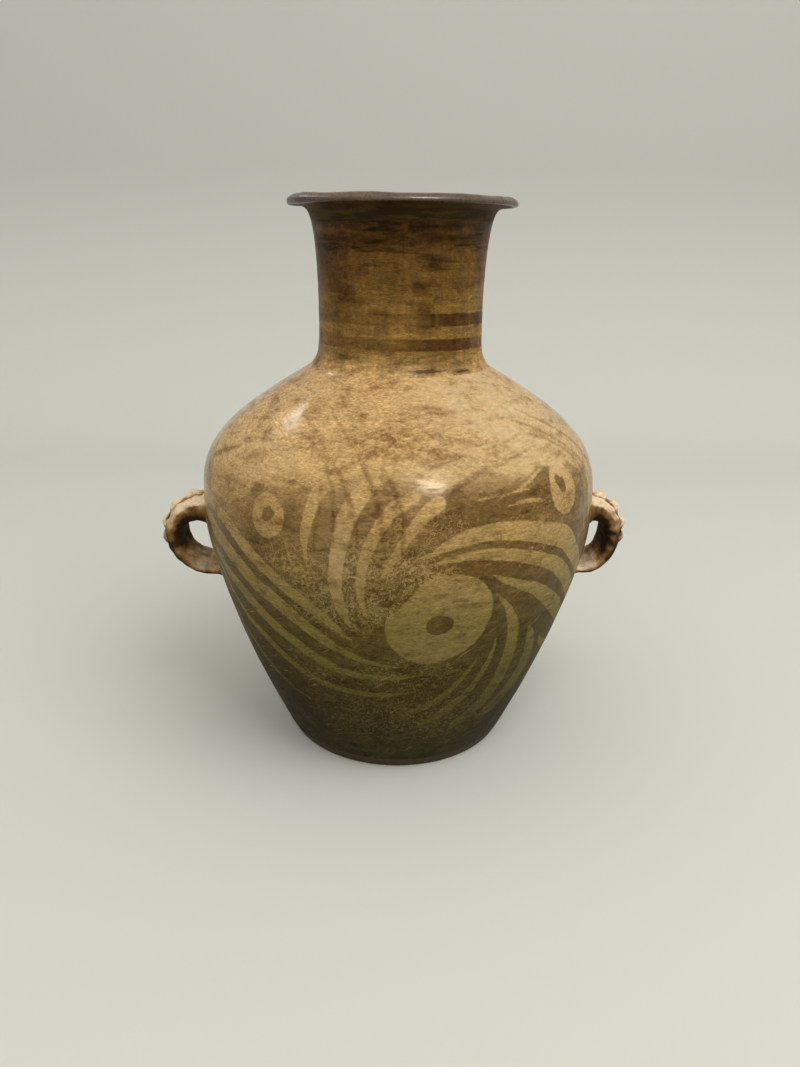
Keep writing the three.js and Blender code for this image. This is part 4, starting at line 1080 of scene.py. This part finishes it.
# %% Strap handles
STRAP_WIDTH = 36.0
STRAP_BACK = 3.2
STRAP_BELLY = 10.0
STRAP_FULLNESS = 2.4
EDGE_DROP = 3.5
ROOT_WIDENING = 8.0
TOP_ROOT_FILLING = 11.0
LOW_ROOT_THINNING = 6.5
ROOT_START = 45.0
ROUND_ABOVE, ROUND_BELOW = 2.0, 2.3
FILLET = 5.5
ROOT_SUNK = 0.3
LUMPS = 26
LEFT_LOOP = dict(side=-1, height=151.5, reach=33.8, rise=25.6, drop=27.3)
RIGHT_LOOP = dict(side=1, height=156.0, reach=25.2, rise=24.6, drop=26.6)
SECTION_POINTS = 56
HALF_LOOP_STEPS = 60


def ease(value, low, high):
    t = np.clip((value - low) / (high - low), 0, 1)
    return t * t * (3 - 2 * t)


def fuller(value, roundness):
    """A cosine or sine pushed outwards, as a rounder oval has it."""
    return np.sign(value) * np.abs(value) ** (2 / roundness)


def loop_spot(loop, degrees):
    """A place on the loop's line, as distance from the axis and height."""
    angle = np.radians(degrees)
    roundness = np.where(np.asarray(degrees) > 0, ROUND_ABOVE, ROUND_BELOW)
    half = np.where(np.asarray(degrees) > 0, loop["rise"], loop["drop"])
    return np.stack([wall_radius(loop["height"]) + loop["reach"] * fuller(np.cos(angle), roundness),
                     loop["height"] + half * fuller(np.sin(angle), roundness)], -1)


def loop_place(loop, degrees):
    """The same with the way out of the loop, found from the places just before and after."""
    after = loop_spot(loop, np.minimum(np.asarray(degrees) + 0.5, 90))
    before = loop_spot(loop, np.maximum(np.asarray(degrees) - 0.5, -90))
    out = np.stack([after[..., 1] - before[..., 1], before[..., 0] - after[..., 0]], -1)
    out /= np.linalg.norm(out, axis=-1, keepdims=True)
    at_wall = (np.abs(degrees) >= 90)[..., None]
    upright = np.stack([0 * out[..., 0], np.sign(degrees) + 0 * out[..., 1]], -1)
    return loop_spot(loop, degrees), np.where(at_wall, upright, out)


def strap_line(loop, way, top):
    """One line along half a strap, from the loop's tip into the wall, with the way it faces."""
    sign = 1 if top else -1
    degrees = sign * np.linspace(0, 90, 80)
    middle, out = loop_place(loop, degrees)
    inward = np.linspace(0, 24, 40)[1:]
    middle = np.vstack([middle, middle[-1] - np.stack([inward, 0 * inward], 1)])
    out = np.vstack([out, np.repeat(out[-1:], len(inward), 0)])
    round_loop = np.r_[np.abs(degrees), np.full(len(inward), 90.0)]
    c, s = math.cos(way), math.sin(way)
    belly = STRAP_BELLY + (round_loop / 90) ** 2 * (TOP_ROOT_FILLING if top else -LOW_ROOT_THINNING)
    depth = STRAP_BACK if s > 0 else belly
    across = (STRAP_WIDTH + ROOT_WIDENING * ease(round_loop, ROOT_START, 90)) / 2 * fuller(c, STRAP_FULLNESS)
    lift = depth * fuller(s, STRAP_FULLNESS)
    lift = lift - EDGE_DROP * c * c * np.cos(np.radians(round_loop)) ** 2
    path = np.stack([middle[:, 0] + lift * out[:, 0], across, middle[:, 1] + lift * out[:, 1]], 1)
    facing = np.stack([s * out[:, 0], np.full(len(out), c), s * out[:, 1]], 1)
    return path, facing


def off_wall(path):
    """How far points stand outside the wall."""
    slope = wall_radius(path[:, 2] + 0.5) - wall_radius(path[:, 2] - 0.5)
    return (radius_of(path) - wall_radius(path[:, 2])) / np.sqrt(1 + slope**2)


def rooted(path, facing):
    """The line cut where it enters the wall, evenly stepped, and spread outwards by the smeared fillet."""
    clear = off_wall(path)
    sunk = np.nonzero(clear < -ROOT_SUNK)[0][0]
    run = run_along(path)
    part = (clear[sunk - 1] + ROOT_SUNK) / (clear[sunk - 1] - clear[sunk])
    length = run[sunk - 1] + part * (run[sunk] - run[sunk - 1])
    at = length * (1 - (1 - np.linspace(0, 1, HALF_LOOP_STEPS + 1)) ** 1.35)
    path, facing = taken_at(at, run, path), taken_at(at, run, facing)
    low = np.clip((FILLET - off_wall(path)) / FILLET, 0, 1)
    spread = FILLET * (1 - np.sqrt(1 - low**2))
    flat = facing * [0.0, 1.0, 1.0]
    flat /= np.maximum(np.linalg.norm(flat, axis=1), 1e-6)[:, None]
    path = path + flat * spread[:, None]
    # keep the spread clay on the wall's curve
    want = np.maximum(FILLET - FILLET * low, -ROOT_SUNK)
    path[:, 0] -= np.where(low > 0, off_wall(path) - want, 0)
    return path


def tube(name, rings, side):
    """A closed skin over rings of points, mirrored to its side of the jar."""
    count, columns = rings.shape[:2]
    faces = grid_faces(count, columns, False)
    faces.append(tuple(range(columns - 1, -1, -1)))
    faces.append(tuple(range((count - 1) * columns, count * columns)))
    if side < 0:
        faces = [tuple(reversed(face)) for face in faces]
    made = add_object(name, rings.reshape(-1, 3) * [side, 1, 1], faces, 60)
    print(name, len(made.data.polygons), "faces")
    return made


def strap(name, loop, seed):
    lines = []
    for i in range(SECTION_POINTS):
        way = 2 * math.pi * i / SECTION_POINTS
        upper, lower = [rooted(*strap_line(loop, way, top)) for top in (True, False)]
        lines.append(np.vstack([upper[::-1], lower[1:]]))
    grid = np.array(lines).transpose(1, 0, 2)
    random = np.random.default_rng(seed)
    steps = np.linspace(0, 1, len(grid))[:, None]
    way = np.linspace(0, 2 * math.pi, SECTION_POINTS, endpoint=False)[None, :]
    lumps = np.zeros(grid.shape[:2])
    for _ in range(LUMPS):
        along, about = random.uniform(2, 16), random.integers(0, 6)
        lumps += np.sin(2 * math.pi * along * steps + about * way + random.random() * 7) / math.sqrt(LUMPS / 2)
    away = grid - grid.mean(axis=1, keepdims=True)
    away /= np.linalg.norm(away, axis=-1, keepdims=True)
    fade = np.sin(np.pi * steps) ** 0.5
    return tube(name, grid + away * (0.28 * lumps * fade)[..., None], loop["side"])

# %% [markdown]
# The pinched strip follows the same loop. Its height rises and falls from tooth to tooth, and the half round of its
# section is sunk a little into the strap, so that the two read as one piece of clay pressed on to another.

# %% Pinched strips
STRIP_STEPS = 180
HALF_ROUND_STEPS = 12
STRIP_START, STRIP_END = 80.0, -42.0
# Each tooth by its place on the loop in degrees and its share of the full height.
TEETH = ((65.0, 1.0), (39.0, 1.0), (11.0, 1.0), (-9.0, 1.0), (-25.0, 0.5))
TOOTH_SPREAD = 12.0
STRIP_FLOOR, TOOTH_HEIGHT = 0.8, 3.9
STRIP_WIDTH = 9.5
SUNK = 1.2


def tooth_rise(degrees):
    """0 in the hollows between the teeth and 1 on their crests, which are narrow, as fingertips pinch them."""
    rises = [0.0]
    for crest, share in TEETH:
        away = abs(degrees - crest) / TOOTH_SPREAD
        if away < 1:
            rises.append(share * (0.45 * (1 - away) + 0.55 * math.cos(away * math.pi / 2) ** 1.3))
    return max(rises)


def pinched_strip(name, loop, seed):
    """The strip, and how near a crest each of its points lies."""
    sway_start, lump_start = np.random.default_rng(seed).uniform(-1, 1, 2)
    section = [math.pi * i / HALF_ROUND_STEPS for i in range(HALF_ROUND_STEPS + 1)]
    points, crests = [], []
    for i in range(STRIP_STEPS + 1):
        degrees = STRIP_START + (STRIP_END - STRIP_START) * i / STRIP_STEPS
        middle, out = loop_place(loop, degrees)
        rise = tooth_rise(degrees)
        ends = ease(degrees, STRIP_END, STRIP_END + 10) * (1 - ease(degrees, STRIP_START - 4, STRIP_START))
        tall = (STRIP_FLOOR + TOOTH_HEIGHT * rise) * float(0.15 + 0.85 * ends)
        half = STRIP_WIDTH / 2 * (1.15 - 0.3 * rise)
        sway = 0.5 * math.sin(degrees / 9 + sway_start * 3)
        for angle in section:
            across = sway + half * math.copysign(abs(math.cos(angle)) ** 0.75, math.cos(angle))
            lift = STRAP_BACK - SUNK
            if angle not in (section[0], section[-1]):
                lift += (tall + SUNK) * math.sin(angle) ** 0.8
                lift += 0.12 * math.sin(degrees * 1.1 + 3 * angle + lump_start)
            points.append((middle[0] + lift * out[0], across, middle[1] + lift * out[1]))
            crests.append(rise * math.sin(angle) - 0.5 * (1 - rise))
    rings = np.array(points).reshape(STRIP_STEPS + 1, len(section), 3)
    return tube(name, rings, loop["side"]), np.array(crests)

# %% [markdown]
# The handles were smoothed with a wet hand and never painted, so their clay is more orange than the burnished wall.
# The upward faces and the crests of the teeth are painted lighter and the inside of the loop and the lower faces
# darker, as painted light and shade set by the direction in which each point faces, and random soot smudges are laid
# over that.

# %% Smoothed orange clay of the handles
HANDLE_CLAY = "#A47B4A"
HANDLE_LIT = "#FFE6C0"
HANDLE_SOOT_AND_SHADE = "#3E2C14"
SHADE_INSIDE_LOOP = 0.5
SHADE_BELOW, SHADE_OUTSIDE = 0.22, 0.3


def smoothed_clay():
    material, tree = new_material("smoothed_orange_clay")
    place = add(tree, "ShaderNodeTexCoord").outputs["Object"]
    lit_level, crest = [add(tree, "ShaderNodeAttribute", attribute_name=name).outputs["Fac"]
                        for name in ("lit_level", "crest")]
    clouds = add(tree, "ShaderNodeTexNoise", {"Vector": place, "Scale": per_metre(10), "Detail": 6.0,
                                              "Roughness": 0.62}).outputs[0]
    grit = add(tree, "ShaderNodeTexNoise", {"Vector": place, "Scale": per_metre(1.6), "Detail": 4.0}).outputs[0]
    smudge = add(tree, "ShaderNodeTexNoise", {"Vector": place, "Scale": per_metre(4), "Detail": 6.0,
                                              "Roughness": 0.68}).outputs[0]
    # painted light and shade: paler facing up and on the crests, darker in the hollows, inside the loop and low down
    lit = add(tree, "ShaderNodeMath", {0: clouds, 1: 0.5}, operation="SUBTRACT").outputs[0]
    lit = add(tree, "ShaderNodeMath", {0: lit, 1: 1.1, 2: lit_level}, operation="MULTIPLY_ADD").outputs[0]
    lit = add(tree, "ShaderNodeMath", {0: crest, 1: 0.8, 2: lit}, operation="MULTIPLY_ADD").outputs[0]
    colour = add(tree, "ShaderNodeValToRGB", {0: lit}, stops=[
        (0.15, HANDLE_SOOT_AND_SHADE), (0.5, HANDLE_CLAY), (0.92, HANDLE_LIT)]).outputs[0]
    # random soot smudges
    darkened = add(tree, "ShaderNodeMapRange", {0: smudge, 1: 0.54, 2: 0.72, 4: 0.5}).outputs[0]
    colour = add(tree, "ShaderNodeMix", {0: darkened, 6: colour, 7: linear(HANDLE_SOOT_AND_SHADE)}, data_type="RGBA").outputs[2]
    tone = add(tree, "ShaderNodeMapRange", {0: grit, 1: 0.3, 2: 0.7, 3: 0.78, 4: 1.18}).outputs[0]
    colour = add(tree, "ShaderNodeVectorMath", {0: colour, 3: tone}, operation="SCALE").outputs[0]
    bump = add(tree, "ShaderNodeBump", {"Height": grit, "Strength": 0.4, "Distance": 0.4 * MM}).outputs[0]
    soft = add(tree, "ShaderNodeBump", {"Height": smudge, "Strength": 0.4, "Distance": 0.6 * MM,
                                        "Normal": bump}).outputs[0]
    shader = add(tree, "ShaderNodeBsdfPrincipled", {"Base Color": colour, "Roughness": 0.72, "Normal": soft,
                                                    **BURNISHED})
    add(tree, "ShaderNodeOutputMaterial", {"Surface": shader.outputs[0]})
    return material


def mark_light(made, loop, crests=()):
    """Stores painted light and shade for each point, from 0 facing down to 1 facing up, darker inside the loop and
    low down, and its crests.
    """
    count = len(made.data.vertices)
    normals, places = np.empty(count * 3), np.empty(count * 3)
    made.data.vertices.foreach_get("normal", normals)
    made.data.vertices.foreach_get("co", places)
    normals, places = normals.reshape(-1, 3), places.reshape(-1, 3) / MM
    from_wall = places[:, 0] - loop["side"] * wall_radius(loop["height"])
    from_middle = np.stack([from_wall, places[:, 2] - loop["height"]], 1)
    from_middle /= np.linalg.norm(from_middle, axis=1)[:, None]
    outward = (from_middle * normals[:, [0, 2]]).sum(1)
    upper = ease(places[:, 2], loop["height"] - 18, loop["height"] - 2)
    lower = 1 - ease(places[:, 2], loop["height"] - 12, loop["height"] + 8)
    # painted shade inside the top of the loop and low down, most on the outer faces
    darkened = SHADE_INSIDE_LOOP * np.clip(-outward, 0, 1) * upper
    lower_shade = (SHADE_BELOW + SHADE_OUTSIDE * np.clip(outward, 0, 1)) * lower
    put(made, "lit_level", 0.5 + 0.5 * normals[:, 2] - darkened - lower_shade)
    put(made, "crest", crests)
    return made


handle_clay = smoothed_clay()
for side, loop, seed in (("left", LEFT_LOOP, 41), ("right", RIGHT_LOOP, 42)):
    handle = mark_light(strap(f"{side}_strap_handle", loop, seed), loop)
    dress(handle, handle_clay, f"{side}_handle")
    strip, crests = pinched_strip(f"{side}_pinched_strip", loop, seed + 2)
    dress(mark_light(strip, loop, crests), handle_clay, f"{side}_handle_strip")

# %% [markdown]
# The jar stands on a plain pale sweep: floor and backdrop in one sheet with a soft bend. The floor looks pale to the
# camera and in reflections, but gives little light back to the jar's underside, so the belly still darkens towards
# the foot.

# %% Floor and backdrop
FLOOR_FRONT, FLOOR_BACK, SWEEP_RADIUS, WALL_TOP, HALF_SPAN = -3.0, 0.75, 0.5, 3.2, 4.0


def sweep_sheet():
    profile = [(FLOOR_FRONT, 0.0), (0.0, 0.0), (FLOOR_BACK, 0.0)]
    for i in range(1, 17):
        angle = math.pi / 2 * i / 16
        profile.append((FLOOR_BACK + SWEEP_RADIUS * math.sin(angle), SWEEP_RADIUS * (1 - math.cos(angle))))
    profile.append((FLOOR_BACK + SWEEP_RADIUS, WALL_TOP))
    points = [(x, y, z) for y, z in profile for x in (-HALF_SPAN, HALF_SPAN)]
    faces = [(2 * i, 2 * i + 1, 2 * i + 3, 2 * i + 2) for i in range(len(profile) - 1)]
    mesh = bpy.data.meshes.new("sweep")
    mesh.from_pydata(points, [], faces)
    mesh.polygons.foreach_set("use_smooth", [True] * len(mesh.polygons))
    made = bpy.data.objects.new("sweep", mesh)
    bpy.context.scene.collection.objects.link(made)
    return made


def pale_paper():
    material, tree = new_material("pale_paper")
    paths = add(tree, "ShaderNodeLightPath")
    place = add(tree, "ShaderNodeTexCoord").outputs["Object"]
    height = add(tree, "ShaderNodeSeparateXYZ", {0: place}).outputs["Z"]
    seen = add(tree, "ShaderNodeMath", {0: paths.outputs["Is Camera Ray"], 1: paths.outputs["Is Glossy Ray"]},
               operation="MAXIMUM").outputs[0]
    seen = add(tree, "ShaderNodeMath", {0: seen, 1: paths.outputs["Is Transmission Ray"]},
               operation="MAXIMUM").outputs[0]
    upright = add(tree, "ShaderNodeMapRange", {0: height, 1: 0.02, 2: 0.45}).outputs[0]
    given = add(tree, "ShaderNodeMix", {0: upright, 6: linear("#74746A"), 7: linear("#E6E6DE")},
                data_type="RGBA").outputs[2]
    colour = add(tree, "ShaderNodeMix", {0: seen, 6: given, 7: linear("#E3E3DB")}, data_type="RGBA").outputs[2]
    shader = add(tree, "ShaderNodeBsdfPrincipled", {"Base Color": colour, "Roughness": 0.9,
                                                    "Specular IOR Level": 0.1})
    add(tree, "ShaderNodeOutputMaterial", {"Surface": shader.outputs[0]})
    return material


backdrop = sweep_sheet()
backdrop.data.materials.append(pale_paper())

# %% [markdown]
# The light comes from above: one wide soft panel a little in front of the jar and an even dim room, set so that a
# colour facing up renders about as it is written. Two small lamps are seen in reflections only, and put the two
# little highlights on the burnished shoulder without changing any colour.

# %% Lights
def panel(name, place, size, watts):
    """A rectangular lamp that faces the belly."""
    data = bpy.data.lights.new(name, "AREA")
    data.shape = "RECTANGLE"
    data.size, data.size_y = size
    data.energy = watts
    made = bpy.data.objects.new(name, data)
    made.location = place
    aim = Vector((0, 0, 0.2)) - Vector(place)
    made.rotation_mode = "QUATERNION"
    made.rotation_quaternion = aim.to_track_quat("-Z", "Y")
    bpy.context.scene.collection.objects.link(made)
    return made


panel("wide_soft_panel", (0.7, -0.8, 1.7), (1.2, 1.0), 12.3)
for name, place, size, watts in (("front_glint", (0.515, -1.245, 1.81), (0.2, 0.07), 34.0),
                                 ("back_glint", (-1.159, 0.95, 1.578), (0.08, 0.05), 3.2)):
    panel(name, place, size, watts).visible_diffuse = False

world = bpy.data.worlds.new("room")
world.use_nodes = True
world.node_tree.nodes["Background"].inputs[0].default_value = linear("#FFFDF8")
world.node_tree.nodes["Background"].inputs[1].default_value = 0.72
bpy.context.scene.world = world
bpy.context.scene.view_settings.view_transform = "Standard"
